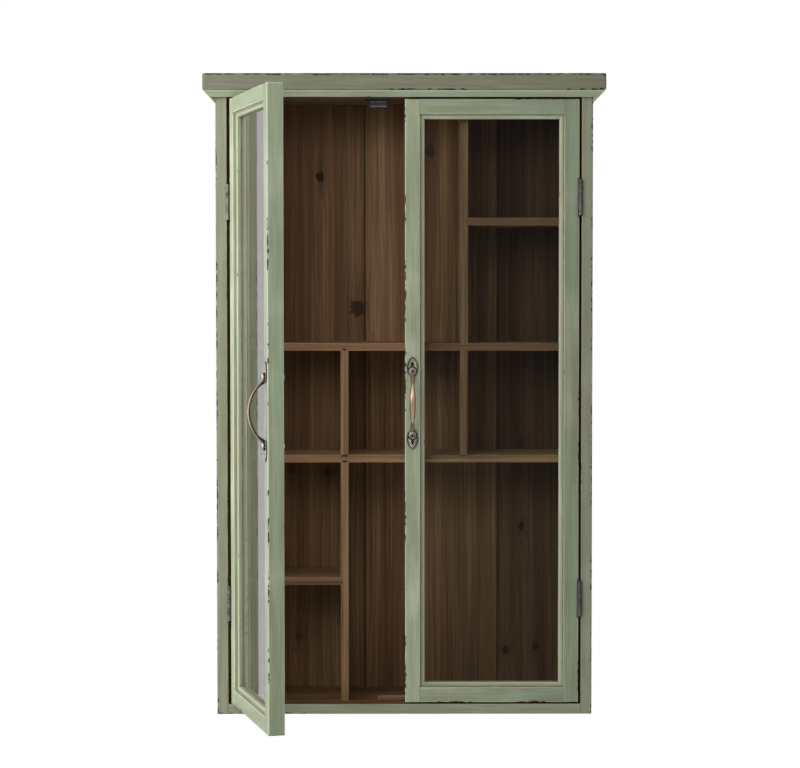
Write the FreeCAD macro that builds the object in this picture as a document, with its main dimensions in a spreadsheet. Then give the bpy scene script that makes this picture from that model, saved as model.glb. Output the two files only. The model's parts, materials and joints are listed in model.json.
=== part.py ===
"""Wall display cabinet with two glazed doors, as a parametric document in millimetres.

+X is to the right seen from the room, +Y points into the wall and +Z is up. The origin is
midway between the two keyhole hangers, on the plane where the back meets the wall.
The left door stands open and the right door is shut.
"""
import FreeCAD
import Part
import Sketcher
import math
import os

SIZES = {
    # carcass
    "cabinet_height": 960.0,
    "carcass_width": 564.0,
    "carcass_depth": 170.0,
    "side_thickness": 17.0,
    "bottom_thickness": 15.5,
    "top_panel_thickness": 9.0,
    "cap_thickness": 25.0,
    "cap_overhang": 18.0,
    "cap_edge_radius": 2.5,
    "moulding_height": 17.5,
    "moulding_foot": 1.0,
    "moulding_lip": 1.0,
    "moulding_step": 2.0,
    # shelves, dividers and the stop
    "shelf_thickness": 12.0,
    "shelf_setback": 25.0,
    "shelf_housing": 5.0,
    "divider_housing": 3.0,
    "lower_tier_height": 362.5,
    "middle_tier_height": 157.0,
    "cell_height": 176.5,
    "stop_length": 82.0,
    "stop_depth": 12.0,
    "stop_height": 8.0,
    # back boards and hanging rail
    "back_board_thickness": 9.0,
    "back_board_width": 207.0,
    "back_joint_offset": 61.0,
    "back_board_housing": 6.0,
    "back_board_lap": 6.0,
    "nail_inset": 30.0,
    "nail_radius": 1.0,
    "nail_length": 22.0,
    "nail_head_radius": 2.2,
    "nail_head_thickness": 0.8,
    "rail_thickness": 15.0,
    "rail_height": 70.0,
    # keyhole hangers
    "hanger_drop": 60.0,
    "hanger_spacing": 400.0,
    "hanger_plate_width": 18.0,
    "hanger_plate_length": 46.0,
    "hanger_plate_thickness": 2.0,
    "hanger_plate_tail": 18.0,
    "hanger_screw_inset": 5.5,
    "keyhole_entry_radius": 5.0,
    "keyhole_slot_radius": 2.5,
    "keyhole_slot_rise": 12.0,
    "keyhole_pocket_depth": 8.0,
    "keyhole_pocket_margin": 1.0,
    # door frames and glazing
    "door_thickness": 23.5,
    "hinge_gap": 3.3,
    "meeting_gap": 2.0,
    "door_top_gap": 2.7,
    "door_bottom_gap": 2.2,
    "frame_width": 22.5,
    "tenon_length": 12.0,
    "tenon_thickness": 8.0,
    "tenon_shoulder": 4.0,
    "bead_width": 7.0,
    "bead_quirk_width": 3.0,
    "bead_quirk_depth": 5.0,
    "glass_setback": 12.0,
    "glass_thickness": 3.0,
    "glass_clearance": 0.5,
    "rear_bead_depth": 7.5,
    "rear_bead_bevel": 2.5,
    "open_angle": 74.3,
    # butt hinges
    "hinge_length": 52.5,
    "hinge_upper_drop": 150.3,
    "hinge_lower_rise": 153.5,
    "hinge_stagger": 3.5,
    "hinge_leaf_width": 16.0,
    "hinge_leaf_thickness": 1.5,
    "hinge_barrel_radius": 2.75,
    "hinge_axis_proud": 2.5,
    "hinge_knuckle_gap": 0.3,
    "hinge_pin_radius": 1.4,
    "hinge_pin_clearance": 0.05,
    "hinge_pin_head_radius": 2.1,
    "hinge_pin_head_height": 0.8,
    "frame_notch_clearance": 0.6,
    "door_notch_clearance": 1.5,
    "notch_end_margin": 3.0,
    # wood screws
    "screw_length": 13.0,
    "screw_radius": 1.3,
    "screw_head_radius": 2.5,
    "screw_head_height": 1.2,
    "screw_play": 0.1,
    # magnetic catches
    "catch_offset": 39.0,
    "catch_body_width": 28.0,
    "catch_ear_width": 43.0,
    "catch_ear_depth": 9.0,
    "catch_ear_thickness": 2.5,
    "catch_depth": 16.0,
    "catch_height": 14.0,
    "catch_wall": 2.0,
    "catch_gap": 0.3,
    "catch_pole_thickness": 1.5,
    "catch_pole_proud": 0.8,
    "catch_magnet_height": 5.0,
    "catch_screw_length": 8.0,
    "strike_thickness": 1.3,
    "strike_width": 26.0,
    "strike_height": 10.0,
    # handles
    "handle_height": 469.0,
    "handle_centres": 96.0,
    "handle_projection": 26.0,
    "handle_grip_width": 8.7,
    "handle_grip_thickness": 4.2,
    "handle_boss_radius": 6.5,
    "rosette_thickness": 2.2,
    "rosette_half_width": 9.2,
    "rosette_tip_length": 22.0,
    "rosette_disc_radius": 8.0,
    "rosette_lobe_radius": 2.8,
    "handle_screw_radius": 2.0,
    "handle_screw_clearance": 0.3,
    "handle_screw_head_radius": 4.0,
    "handle_screw_head_height": 2.4,
    "handle_screw_grip": 3.5,
    # one overrun for every cut
    "overrun": 2.0,
}
CELL_COUNT = 3
KNUCKLES = 5
LEAF_SCREW_SHARES = (0.18, 0.5, 0.82)
LEAF_SCREW_ROW_SHARE = 0.62
# along the bow: place on the half arc, width and thickness as shares of the grip's own
BOW_SHARES = (
    (-1.0, 0.8, 1.65),
    (-0.8, 0.58, 1.2),
    (-0.62, 0.55, 0.95),
    (-0.3, 0.92, 1.0),
    (0.0, 1.0, 1.0),
    (0.3, 0.92, 1.0),
    (0.62, 0.55, 0.95),
    (0.8, 0.58, 1.2),
    (1.0, 0.8, 1.65),
)
BOW_ROOT_SHARE = 0.4
ROSETTE_WAIST_SHARE = 0.25
LOBE_SIDE_SHARE = 0.74
LOBE_RISE_SHARE = 0.3

DOC = FreeCAD.newDocument("wall_display_cabinet")
NODES = {}


class Dim:
    """A length that carries its sheet formula and its present value."""

    def __init__(self, formula, value):
        self.formula = formula
        self.value = value

    @staticmethod
    def of(other):
        """Takes a plain count or zero as a Dim."""
        return other if isinstance(other, Dim) else Dim(repr(float(other)), float(other))

    def __add__(self, other):
        other = Dim.of(other)
        return Dim(f"({self.formula} + {other.formula})", self.value + other.value)

    def __sub__(self, other):
        other = Dim.of(other)
        return Dim(f"({self.formula} - {other.formula})", self.value - other.value)

    def __mul__(self, other):
        other = Dim.of(other)
        return Dim(f"({self.formula} * {other.formula})", self.value * other.value)

    def __truediv__(self, other):
        other = Dim.of(other)
        return Dim(f"({self.formula} / {other.formula})", self.value / other.value)

    def __neg__(self):
        return Dim(f"(-{self.formula})", -self.value)


class Sheet:
    """The spreadsheet of driving dimensions; each alias reads as an attribute."""

    def __init__(self):
        self.cells = DOC.addObject("Spreadsheet::Sheet", "Sizes")
        for row, (alias, value) in enumerate(SIZES.items(), start=1):
            self.cells.set(f"A{row}", alias)
            self.cells.set(f"B{row}", str(value))
            self.cells.setAlias(f"B{row}", alias)
        DOC.recompute()

    def __getattr__(self, alias):
        return Dim(f"Sizes.{alias}", float(self.cells.get(alias)))


S = Sheet()
ZERO = Dim.of(0)

# levels and planes that many pieces share
BASE = S.hanger_drop - S.cabinet_height
FLOOR = BASE + S.bottom_thickness
CAP_UNDER = S.hanger_drop - S.cap_thickness
TOP_UNDER = CAP_UNDER - S.top_panel_thickness
FRONT = -S.carcass_depth
HALF = S.carcass_width / 2
INNER = HALF - S.side_thickness
BOARD_BACK = -S.rail_thickness
BOARD_FRONT = BOARD_BACK - S.back_board_thickness
SHELF_FRONT = FRONT + S.shelf_setback
LOWER_SHELF = FLOOR + S.lower_tier_height
UPPER_SHELF = LOWER_SHELF + S.shelf_thickness + S.middle_tier_height
LEFT_CELL_SHELF = FLOOR + S.cell_height
RIGHT_CELL_SHELF = UPPER_SHELF + S.shelf_thickness + S.cell_height
CELL_WIDTH = (INNER * 2 - S.shelf_thickness * (CELL_COUNT - 1)) / CELL_COUNT
DIVIDER_NEAR = INNER - CELL_WIDTH - S.shelf_thickness
DIVIDER_FAR = INNER - CELL_WIDTH

# the hinge axis, and the door seen from it
AXIS_X = INNER - S.hinge_gap / 2
AXIS_Y = FRONT - S.hinge_axis_proud
DOOR_EDGE = S.hinge_gap / 2
DOOR_WIDTH = INNER - S.hinge_gap - S.meeting_gap / 2
DOOR_FAR = DOOR_EDGE + DOOR_WIDTH
DOOR_FACE = S.hinge_axis_proud
DOOR_BACK = DOOR_FACE + S.door_thickness
DOOR_LOW = FLOOR + S.door_bottom_gap
DOOR_HIGH = TOP_UNDER - S.door_top_gap
SIGHT_NEAR = DOOR_EDGE + S.frame_width
SIGHT_FAR = DOOR_FAR - S.frame_width
SIGHT_LOW = DOOR_LOW + S.frame_width
SIGHT_HIGH = DOOR_HIGH - S.frame_width
HANDLE_X = DOOR_FAR - S.frame_width / 2
HANDLE_Z = BASE + S.handle_height
CATCH_MIDDLE = TOP_UNDER - (S.catch_height + S.catch_ear_thickness) / 2
KNUCKLE_LENGTH = (S.hinge_length - S.hinge_knuckle_gap * (KNUCKLES - 1)) / KNUCKLES
KNUCKLE_PITCH = KNUCKLE_LENGTH + S.hinge_knuckle_gap

TURNS = {
    "+x": FreeCAD.Rotation(FreeCAD.Vector(0, 1, 0), 90),
    "-x": FreeCAD.Rotation(FreeCAD.Vector(0, 1, 0), -90),
    "+y": FreeCAD.Rotation(FreeCAD.Vector(1, 0, 0), -90),
    "-y": FreeCAD.Rotation(FreeCAD.Vector(1, 0, 0), 90),
    "+z": FreeCAD.Rotation(),
}


def bind(obj, prop, dim):
    """Binds one property of an object to a dimension's formula."""
    obj.setExpression(prop, Dim.of(dim).formula)


def place(obj, x, y, z, turn=None):
    """Places an object, with an optional fixed turn, at bound coordinates."""
    if turn is not None:
        obj.Placement = FreeCAD.Placement(FreeCAD.Vector(), turn)
    for axis, dim in zip("xyz", (x, y, z)):
        bind(obj, f"Placement.Base.{axis}", dim)
    return obj


def block(x, y, z):
    """A box between a low and a high bound on each axis."""
    box = DOC.addObject("Part::Box", "block")
    for prop, (low, high) in zip(("Length", "Width", "Height"), (x, y, z)):
        bind(box, prop, Dim.of(high) - low)
    return place(box, x[0], y[0], z[0])


def rod(radius, length, x, y, z, way="+z"):
    """A cylinder that starts at a point and runs one way."""
    cylinder = DOC.addObject("Part::Cylinder", "rod")
    bind(cylinder, "Radius", radius)
    bind(cylinder, "Height", length)
    return place(cylinder, x, y, z, TURNS[way])


def cone(near_radius, far_radius, length, x, y, z, way):
    """A cone frustum that starts at a point and runs one way."""
    frustum = DOC.addObject("Part::Cone", "cone")
    bind(frustum, "Radius1", near_radius)
    bind(frustum, "Radius2", far_radius)
    bind(frustum, "Height", length)
    return place(frustum, x, y, z, TURNS[way])


def fuse(shapes):
    """One solid from several that meet or overlap."""
    if len(shapes) == 1:
        return shapes[0]
    result = DOC.addObject("Part::MultiFuse", "fuse")
    result.Shapes = shapes
    return result


def cut(base, tools):
    """A solid with every tool taken out of it."""
    result = DOC.addObject("Part::Cut", "cut")
    result.Base = base
    result.Tool = fuse(tools)
    return result


def group(shapes):
    """Separate solids kept as one node."""
    result = DOC.addObject("Part::Compound", "group")
    result.Links = shapes
    return result


def node(name, obj):
    """Names an object as one of the cabinet's nodes."""
    obj.Label = name
    NODES[name] = obj
    return obj


def polygon(sketch, corners, arc_after=None, arc_centre=None):
    """Draws a closed outline whose corners are bound; one side may be an arc about a bound centre."""
    points = [FreeCAD.Vector(Dim.of(u).value, Dim.of(v).value, 0) for u, v in corners]
    count = len(points)
    first = sketch.GeometryCount
    for i, start in enumerate(points):
        end = points[(i + 1) % count]
        if i == arc_after:
            middle = FreeCAD.Vector(arc_centre[0].value, arc_centre[1].value, 0)
            circle = Part.Circle(middle, FreeCAD.Vector(0, 0, 1), (start - middle).Length)
            sketch.addGeometry(Part.ArcOfCircle(circle, circle.parameter(start), circle.parameter(end)))
        else:
            sketch.addGeometry(Part.LineSegment(start, end))
    for i in range(count):
        following = first + (i + 1) % count
        sketch.addConstraint(Sketcher.Constraint("Coincident", first + i, 2, following, 1))
    for i, corner in enumerate(corners):
        for kind, dim in zip(("DistanceX", "DistanceY"), corner):
            dim = Dim.of(dim)
            index = sketch.addConstraint(Sketcher.Constraint(kind, -1, 1, first + i, 1, dim.value))
            bind(sketch, f"Constraints[{index}]", dim)
    if arc_after is not None:
        height = arc_centre[1]
        index = sketch.addConstraint(
            Sketcher.Constraint("DistanceY", -1, 1, first + arc_after, 3, height.value))
        bind(sketch, f"Constraints[{index}]", height)


def sketch_on(body, role, name):
    """A sketch on one of a body's own origin planes."""
    sketch = body.newObject("Sketcher::SketchObject", name)
    planes = {plane.Role: plane for plane in body.Origin.OriginFeatures}
    sketch.AttachmentSupport = (planes[role], [""])
    sketch.MapMode = "FlatFace"
    return sketch


def stick(length, outline, mitres, **arc):
    """A moulded stick along +X: its outline lies in YZ, and the mitres are plan outlines cut through it."""
    body = DOC.addObject("PartDesign::Body", "stick")
    profile = sketch_on(body, "YZ_Plane", "profile")
    polygon(profile, outline, **arc)
    pad = body.newObject("PartDesign::Pad", "length")
    pad.Profile = profile
    bind(pad, "Length", length)
    DOC.recompute()
    whole = pad.Shape.Volume
    plan = sketch_on(body, "XY_Plane", "mitres")
    for corners in mitres:
        polygon(plan, corners)
    pocket = body.newObject("PartDesign::Pocket", "mitre")
    pocket.Profile = plan
    pocket.Type = "ThroughAll"
    pocket.Reversed = True
    DOC.recompute()
    if not pocket.Shape.Volume < whole:
        raise RuntimeError("a mitre cut nothing")
    return body


def screw_parts(x, y, z, way, length, plate):
    """One countersunk wood screw, its head level with a plate's face, and its hole in the plate."""
    screw = fuse([
        cone(S.screw_head_radius, S.screw_radius, S.screw_head_height, x, y, z, way),
        rod(S.screw_radius, length, x, y, z, way),
    ])
    seat = fuse([
        cone(S.screw_head_radius + S.screw_play, S.screw_radius + S.screw_play, S.screw_head_height,
             x, y, z, way),
        rod(S.screw_radius + S.screw_play, plate + S.overrun, x, y, z, way),
    ])
    return screw, seat


def shelf_housing(hand, low):
    """The housing that one shelf end takes in a side."""
    return block(
        span(hand, INNER - S.overrun, INNER + S.shelf_housing),
        (SHELF_FRONT, BOARD_FRONT),
        (low, low + S.shelf_thickness),
    )


def span(hand, near, far):
    """A stretch of X measured from the middle or the hinge, on the hand's side."""
    near, far = Dim.of(near), Dim.of(far)
    return (near, far) if hand > 0 else (-far, -near)


def hinge_levels(hand):
    """The lower ends of a door's two hinges; the right door's sit a little higher."""
    shift = S.hinge_stagger * hand - S.hinge_length / 2
    return [DOOR_LOW + S.hinge_lower_rise + shift, DOOR_HIGH - S.hinge_upper_drop + shift]


def hinge_cuts(side, low, clearance):
    """The leaf's mortise and the barrel's notch for one hinge, seen from the hinge axis."""
    mortise = block(
        span(side, S.hinge_gap / 2 - S.overrun, S.hinge_gap / 2 + S.hinge_leaf_thickness),
        (ZERO, DOOR_FACE + S.hinge_leaf_width),
        (low, low + S.hinge_length),
    )
    notch = rod(
        S.hinge_barrel_radius + clearance,
        S.hinge_length + S.notch_end_margin * 2,
        ZERO, ZERO, low - S.notch_end_margin,
    )
    return [mortise, notch]


def carcass_side(hand):
    """One side board with its housings, hinge mortises and the groove for the back boards."""
    board = block(span(hand, INNER, HALF), (FRONT, ZERO), (BASE, CAP_UNDER))
    cell_shelf = RIGHT_CELL_SHELF if hand > 0 else LEFT_CELL_SHELF
    tools = [shelf_housing(hand, low) for low in (LOWER_SHELF, UPPER_SHELF, cell_shelf)]
    tools.append(block(
        span(hand, INNER - S.overrun, INNER + S.back_board_housing),
        (BOARD_FRONT, BOARD_BACK),
        (FLOOR, CAP_UNDER),
    ))
    for low in hinge_levels(hand):
        hinge = fuse(hinge_cuts(hand, low, S.frame_notch_clearance))
        tools.append(place(hinge, AXIS_X * hand, AXIS_Y, ZERO))
    return cut(board, tools)


def shelf(x, low, housings):
    """A shelf with grooves for dividers, each given by its near edge and whether it stands above."""
    board = block(x, (SHELF_FRONT, BOARD_FRONT), (low, low + S.shelf_thickness))
    tools = []
    for near, above in housings:
        if above:
            level = (low + S.shelf_thickness - S.divider_housing, low + S.shelf_thickness + S.overrun)
        else:
            level = (low - S.overrun, low + S.divider_housing)
        tools.append(block((near, near + S.shelf_thickness), (SHELF_FRONT, BOARD_FRONT), level))
    return cut(board, tools) if tools else board


def divider(near, low, high, cell_shelf=None, side=1):
    """An upright divider; a cell shelf may be housed in one of its faces."""
    board = block((near, near + S.shelf_thickness), (SHELF_FRONT, BOARD_FRONT), (low, high))
    if cell_shelf is None:
        return board
    if side > 0:
        x = (near + S.shelf_thickness - S.divider_housing, near + S.shelf_thickness + S.overrun)
    else:
        x = (near - S.overrun, near + S.divider_housing)
    return cut(board, [block(x, (SHELF_FRONT, BOARD_FRONT), (cell_shelf, cell_shelf + S.shelf_thickness))])


def cornice_cap():
    """The cap board with its exposed edges eased."""
    body = DOC.addObject("PartDesign::Body", "cap")
    plan = sketch_on(body, "XY_Plane", "plan")
    reach = HALF + S.cap_overhang
    nose = FRONT - S.cap_overhang
    polygon(plan, [(-reach, nose), (reach, nose), (reach, ZERO), (-reach, ZERO)])
    pad = body.newObject("PartDesign::Pad", "thickness")
    pad.Profile = plan
    bind(pad, "Length", S.cap_thickness)
    DOC.recompute()
    exposed = [
        f"Edge{i}" for i, edge in enumerate(pad.Shape.Edges, start=1)
        if edge.BoundBox.YMin < -S.overrun.value
    ]
    ease = body.newObject("PartDesign::Fillet", "ease")
    ease.Base = (pad, exposed)
    bind(ease, "Radius", S.cap_edge_radius)
    return place(body, ZERO, ZERO, CAP_UNDER)


def side_moulding_outline():
    """The whole bevel section: y is out from the carcass and z up from its lower edge."""
    nose = S.cap_overhang - S.moulding_step
    return [
        (ZERO, ZERO),
        (S.moulding_foot, ZERO),
        (S.moulding_foot, S.moulding_lip),
        (nose, S.moulding_height - S.moulding_lip),
        (nose, S.moulding_height),
        (ZERO, S.moulding_height),
    ]


def front_moulding_outline():
    """The same bevel, sawn off level with the top panel's underside so that the doors can open."""
    nose = S.cap_overhang - S.moulding_step
    slope = (nose - S.moulding_foot) / (S.moulding_height - S.moulding_lip * 2)
    sawn = S.moulding_height - S.top_panel_thickness
    return [
        (ZERO, ZERO),
        (S.moulding_foot + slope * (sawn - S.moulding_lip), ZERO),
        (nose, S.top_panel_thickness - S.moulding_lip),
        (nose, S.top_panel_thickness),
        (ZERO, S.top_panel_thickness),
    ]


def cornice_mouldings():
    """The three mitred mouldings under the cap."""
    reach = S.cap_overhang
    run = S.carcass_width + reach * 2
    front = stick(run, front_moulding_outline(), [
        [(ZERO, ZERO), (reach, ZERO), (ZERO, reach)],
        [(run, ZERO), (run, reach), (run - reach, ZERO)],
    ])
    front = place(front, HALF + reach, FRONT, TOP_UNDER, FreeCAD.Rotation(FreeCAD.Vector(0, 0, 1), 180))
    run = S.carcass_depth + reach
    low = CAP_UNDER - S.moulding_height
    left = stick(run, side_moulding_outline(), [[(ZERO, ZERO), (reach, ZERO), (ZERO, reach)]])
    left = place(left, -HALF, FRONT - reach, low, FreeCAD.Rotation(FreeCAD.Vector(0, 0, 1), 90))
    right = stick(run, side_moulding_outline(), [[(run, ZERO), (run, reach), (run - reach, ZERO)]])
    right = place(right, HALF, ZERO, low, FreeCAD.Rotation(FreeCAD.Vector(0, 0, 1), -90))
    return front, left, right


def back_board(low, high, lap_low, lap_high):
    """One back board; neighbours overlap in half-thickness laps."""
    half = S.back_board_thickness / 2
    level = (FLOOR, CAP_UNDER)
    shapes = [block((low, high), (BOARD_FRONT, BOARD_BACK), level)]
    if lap_high:
        shapes.append(block((high, high + S.back_board_lap), (BOARD_FRONT + half, BOARD_BACK), level))
    board = fuse(shapes)
    if lap_low:
        rebate = (low - S.overrun, low + S.back_board_lap)
        board = cut(board, [block(rebate, (BOARD_FRONT + half, BOARD_BACK + S.overrun), level)])
    return board


def back_nails(edges):
    """The nails that hold each back board to the two full shelves."""
    nails = []
    for low, high in edges:
        for x in (low + S.nail_inset, high - S.nail_inset):
            for shelf_low in (LOWER_SHELF, UPPER_SHELF):
                z = shelf_low + S.shelf_thickness / 2
                nails.append(fuse([
                    rod(S.nail_radius, S.nail_length, x, BOARD_BACK, z, "-y"),
                    rod(S.nail_head_radius, S.nail_head_thickness, x, BOARD_BACK, z, "+y"),
                ]))
    return group(nails)


def keyhole(x):
    """The keyhole's clear shape through a hanger plate: an entry hole and a slot that rises from it."""
    slot = S.keyhole_slot_radius
    depth = S.hanger_plate_thickness
    return [
        rod(S.keyhole_entry_radius, depth, x, ZERO, ZERO, "-y"),
        block((x - slot, x + slot), (-depth, ZERO), (ZERO, S.keyhole_slot_rise)),
        rod(slot, depth, x, ZERO, S.keyhole_slot_rise, "-y"),
    ]


def hangers():
    """The hanging rail, its two keyhole plates and their screws."""
    rail = block((-INNER, INNER), (BOARD_BACK, ZERO), (CAP_UNDER - S.rail_height, CAP_UNDER))
    rail_tools, plates, screws = [], [], []
    plate_low = -S.hanger_plate_tail
    plate_high = plate_low + S.hanger_plate_length
    for hand in (-1, 1):
        x = S.hanger_spacing / 2 * hand
        half = S.hanger_plate_width / 2
        seat = (-S.hanger_plate_thickness, ZERO)
        rail_tools.append(block((x - half, x + half), seat, (plate_low, plate_high)))
        head_room = S.keyhole_entry_radius + S.keyhole_pocket_margin
        rail_tools.append(block(
            (x - head_room, x + head_room),
            (-(S.hanger_plate_thickness + S.keyhole_pocket_depth), ZERO),
            (-head_room, S.keyhole_slot_rise + head_room),
        ))
        plate_tools = keyhole(x)
        for z in (plate_low + S.hanger_screw_inset, plate_high - S.hanger_screw_inset):
            screw, hole = screw_parts(x, ZERO, z, "-y", S.screw_length, S.hanger_plate_thickness)
            screws.append(screw)
            plate_tools.append(hole)
        plates.append(cut(block((x - half, x + half), seat, (plate_low, plate_high)), plate_tools))
    return cut(rail, rail_tools), group(plates), group(screws)


def hinge_leaf(side, low, zones, way):
    """One hinge leaf seen from the hinge axis, with its own knuckles; returns it and its screws."""
    plate = block(
        span(side, S.hinge_gap / 2, S.hinge_gap / 2 + S.hinge_leaf_thickness),
        (ZERO, DOOR_FACE + S.hinge_leaf_width),
        (low, low + S.hinge_length),
    )
    solids, tools = [plate], [
        rod(S.hinge_pin_radius + S.hinge_pin_clearance, S.hinge_length + S.overrun * 2,
            ZERO, ZERO, low - S.overrun)]
    for i in range(KNUCKLES):
        start = low + KNUCKLE_PITCH * i
        if i in zones:
            solids.append(rod(S.hinge_barrel_radius, KNUCKLE_LENGTH, ZERO, ZERO, start))
        else:
            tools.append(rod(
                S.hinge_barrel_radius + S.hinge_knuckle_gap,
                KNUCKLE_LENGTH + S.hinge_knuckle_gap * 2,
                ZERO, ZERO, start - S.hinge_knuckle_gap))
    screws = []
    for share in LEAF_SCREW_SHARES:
        screw, hole = screw_parts(
            S.hinge_gap / 2 * side,
            DOOR_FACE + S.hinge_leaf_width * LEAF_SCREW_ROW_SHARE,
            low + S.hinge_length * share,
            way, S.screw_length, S.hinge_leaf_thickness)
        screws.append(screw)
        tools.append(hole)
    return cut(fuse(solids), tools), screws


def hinge_pin(low):
    """A hinge pin with a small head on top of the barrel."""
    return fuse([
        rod(S.hinge_pin_radius, S.hinge_length, ZERO, ZERO, low),
        rod(S.hinge_pin_head_radius, S.hinge_pin_head_height, ZERO, ZERO, low + S.hinge_length),
    ])


def frame_hinges():
    """The leaves, screws and pins that stay with the carcass."""
    screws, pins = [], []
    zones = range(0, KNUCKLES, 2)
    for hand, name in ((-1, "left"), (1, "right")):
        leaves = []
        for low in hinge_levels(hand):
            leaf, leaf_screws = hinge_leaf(hand, low, zones, "+x" if hand > 0 else "-x")
            leaves.append(leaf)
            for part in leaf_screws:
                screws.append(place(part, AXIS_X * hand, AXIS_Y, ZERO))
            pins.append(place(hinge_pin(low), AXIS_X * hand, AXIS_Y, ZERO))
        node(f"{name}_frame_hinge_leaves", place(group(leaves), AXIS_X * hand, AXIS_Y, ZERO))
    node("frame_leaf_screws", group(screws))
    node("hinge_pins", group(pins))


def catches():
    """The magnetic catches under the top panel, one for each door."""
    housings, poles, magnets, screws = [], [], [], []
    strike_face = AXIS_Y + DOOR_BACK + S.strike_thickness
    pole_face = strike_face + S.catch_gap
    face = pole_face + S.catch_pole_proud
    back = face + S.catch_depth
    for hand in (-1, 1):
        x = S.catch_offset * hand
        half = S.catch_body_width / 2
        inside = half - S.catch_wall
        ear = S.catch_ear_width / 2
        ear_inset = (S.catch_depth - S.catch_ear_depth) / 2
        ears_y = (face + ear_inset, back - ear_inset)
        ears_z = (TOP_UNDER - S.catch_ear_thickness, TOP_UNDER)
        shell = fuse([
            block((x - half, x + half), (face, back), (TOP_UNDER - S.catch_height, TOP_UNDER)),
            block((x - ear, x + ear), ears_y, ears_z),
        ])
        stack = S.catch_magnet_height / 2
        pole = stack + S.catch_pole_thickness
        inner_back = back - S.catch_wall
        hollow = (x - inside, x + inside)
        tools = [block(hollow, (face - S.overrun, inner_back), (CATCH_MIDDLE - pole, CATCH_MIDDLE + pole))]
        for way in (-1, 1):
            hole_x = x + (half + ear) / 2 * way
            screw, hole = screw_parts(
                hole_x, (face + back) / 2, ears_z[0], "+z", S.catch_screw_length, S.catch_ear_thickness)
            screws.append(screw)
            tools.append(hole)
        housings.append(cut(shell, tools))
        for near, far in ((-pole, -stack), (stack, pole)):
            levels = (CATCH_MIDDLE + near, CATCH_MIDDLE + far)
            poles.append(block(hollow, (pole_face, inner_back), levels))
        levels = (CATCH_MIDDLE - stack, CATCH_MIDDLE + stack)
        magnets.append(block(hollow, (face, inner_back), levels))
    node("catch_housings", group(housings))
    node("catch_pole_plates", group(poles))
    node("catch_magnets", group(magnets))
    node("catch_screws", group(screws))


def carcass():
    """Every piece that stays on the wall."""
    node("left_side", carcass_side(-1))
    node("right_side", carcass_side(1))
    node("top_panel", block((-INNER, INNER), (FRONT, BOARD_FRONT), (TOP_UNDER, CAP_UNDER)))
    floor = block((-INNER, INNER), (FRONT, ZERO), (BASE, FLOOR))
    groove = (FLOOR - S.divider_housing, FLOOR + S.overrun)
    node("bottom_panel", cut(floor, [
        block((-DIVIDER_FAR, -DIVIDER_NEAR), (SHELF_FRONT, BOARD_FRONT), groove)]))
    node("cornice_cap", cornice_cap())
    front, left, right = cornice_mouldings()
    node("cornice_front_moulding", front)
    node("cornice_left_moulding", left)
    node("cornice_right_moulding", right)

    reach = INNER + S.shelf_housing
    full = (-reach, reach)
    node("upper_shelf", shelf(full, UPPER_SHELF, [
        (DIVIDER_NEAR, True), (DIVIDER_NEAR, False), (-DIVIDER_FAR, False)]))
    node("lower_shelf", shelf(full, LOWER_SHELF, [
        (DIVIDER_NEAR, True), (-DIVIDER_FAR, True), (-DIVIDER_FAR, False)]))
    node("right_cell_shelf", shelf((DIVIDER_FAR - S.divider_housing, reach), RIGHT_CELL_SHELF, []))
    node("left_cell_shelf", shelf((-reach, -DIVIDER_FAR + S.divider_housing), LEFT_CELL_SHELF, []))

    housed = S.divider_housing
    upper_top = UPPER_SHELF + S.shelf_thickness - housed
    lower_top = LOWER_SHELF + S.shelf_thickness - housed
    node("upper_divider", divider(DIVIDER_NEAR, upper_top, TOP_UNDER, RIGHT_CELL_SHELF, 1))
    node("middle_right_divider", divider(DIVIDER_NEAR, lower_top, UPPER_SHELF + housed))
    node("middle_left_divider", divider(-DIVIDER_FAR, lower_top, UPPER_SHELF + housed))
    node("lower_divider", divider(-DIVIDER_FAR, FLOOR - housed, LOWER_SHELF + housed, LEFT_CELL_SHELF, -1))

    edge = INNER + S.back_board_housing
    first = -S.back_joint_offset
    second = first + S.back_board_width
    node("left_back_board", back_board(-edge, first, False, True))
    node("middle_back_board", back_board(first, second, True, True))
    node("right_back_board", back_board(second, edge, True, False))
    node("back_board_nails", back_nails([(-edge, first), (first, second), (second, edge)]))
    rail, plates, plate_screws = hangers()
    node("hanging_rail", rail)
    node("hanger_plates", plates)
    node("hanger_screws", plate_screws)

    stop_face = AXIS_Y + DOOR_BACK + S.catch_gap
    half = S.stop_length / 2
    stop_y = (stop_face, stop_face + S.stop_depth)
    node("door_stop", block((-half, half), stop_y, (FLOOR, FLOOR + S.stop_height)))
    catches()
    frame_hinges()


def hang(hand, obj):
    """Hangs a piece built about the hinge axis on its door; the left door stands open."""
    if hand < 0:
        obj.Placement = FreeCAD.Placement(
            FreeCAD.Vector(), FreeCAD.Rotation(FreeCAD.Vector(0, 0, -1), S.open_angle.value))
        bind(obj, "Placement.Rotation.Angle", S.open_angle)
    return place(obj, AXIS_X * hand, AXIS_Y, ZERO)


def tenon_levels(low):
    """Where a rail's tenon starts and ends in height."""
    return (low + S.tenon_shoulder, low + S.frame_width - S.tenon_shoulder)


def tenon_depth():
    """Where a tenon lies in the door's thickness."""
    middle = DOOR_FACE + S.door_thickness / 2
    return (middle - S.tenon_thickness / 2, middle + S.tenon_thickness / 2)


def rail_lows():
    """The lower edges of a door's bottom and top rails."""
    return (DOOR_LOW, DOOR_HIGH - S.frame_width)


def door_stile(way, edge_near, tenon_near, tools):
    """A stile with its two mortises and any further cuts."""
    width = span(way, edge_near, edge_near + S.frame_width)
    board = block(width, (DOOR_FACE, DOOR_BACK), (DOOR_LOW, DOOR_HIGH))
    for low in rail_lows():
        tools.append(block(
            span(way, tenon_near, tenon_near + S.tenon_length), tenon_depth(), tenon_levels(low)))
    return cut(board, tools)


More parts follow.
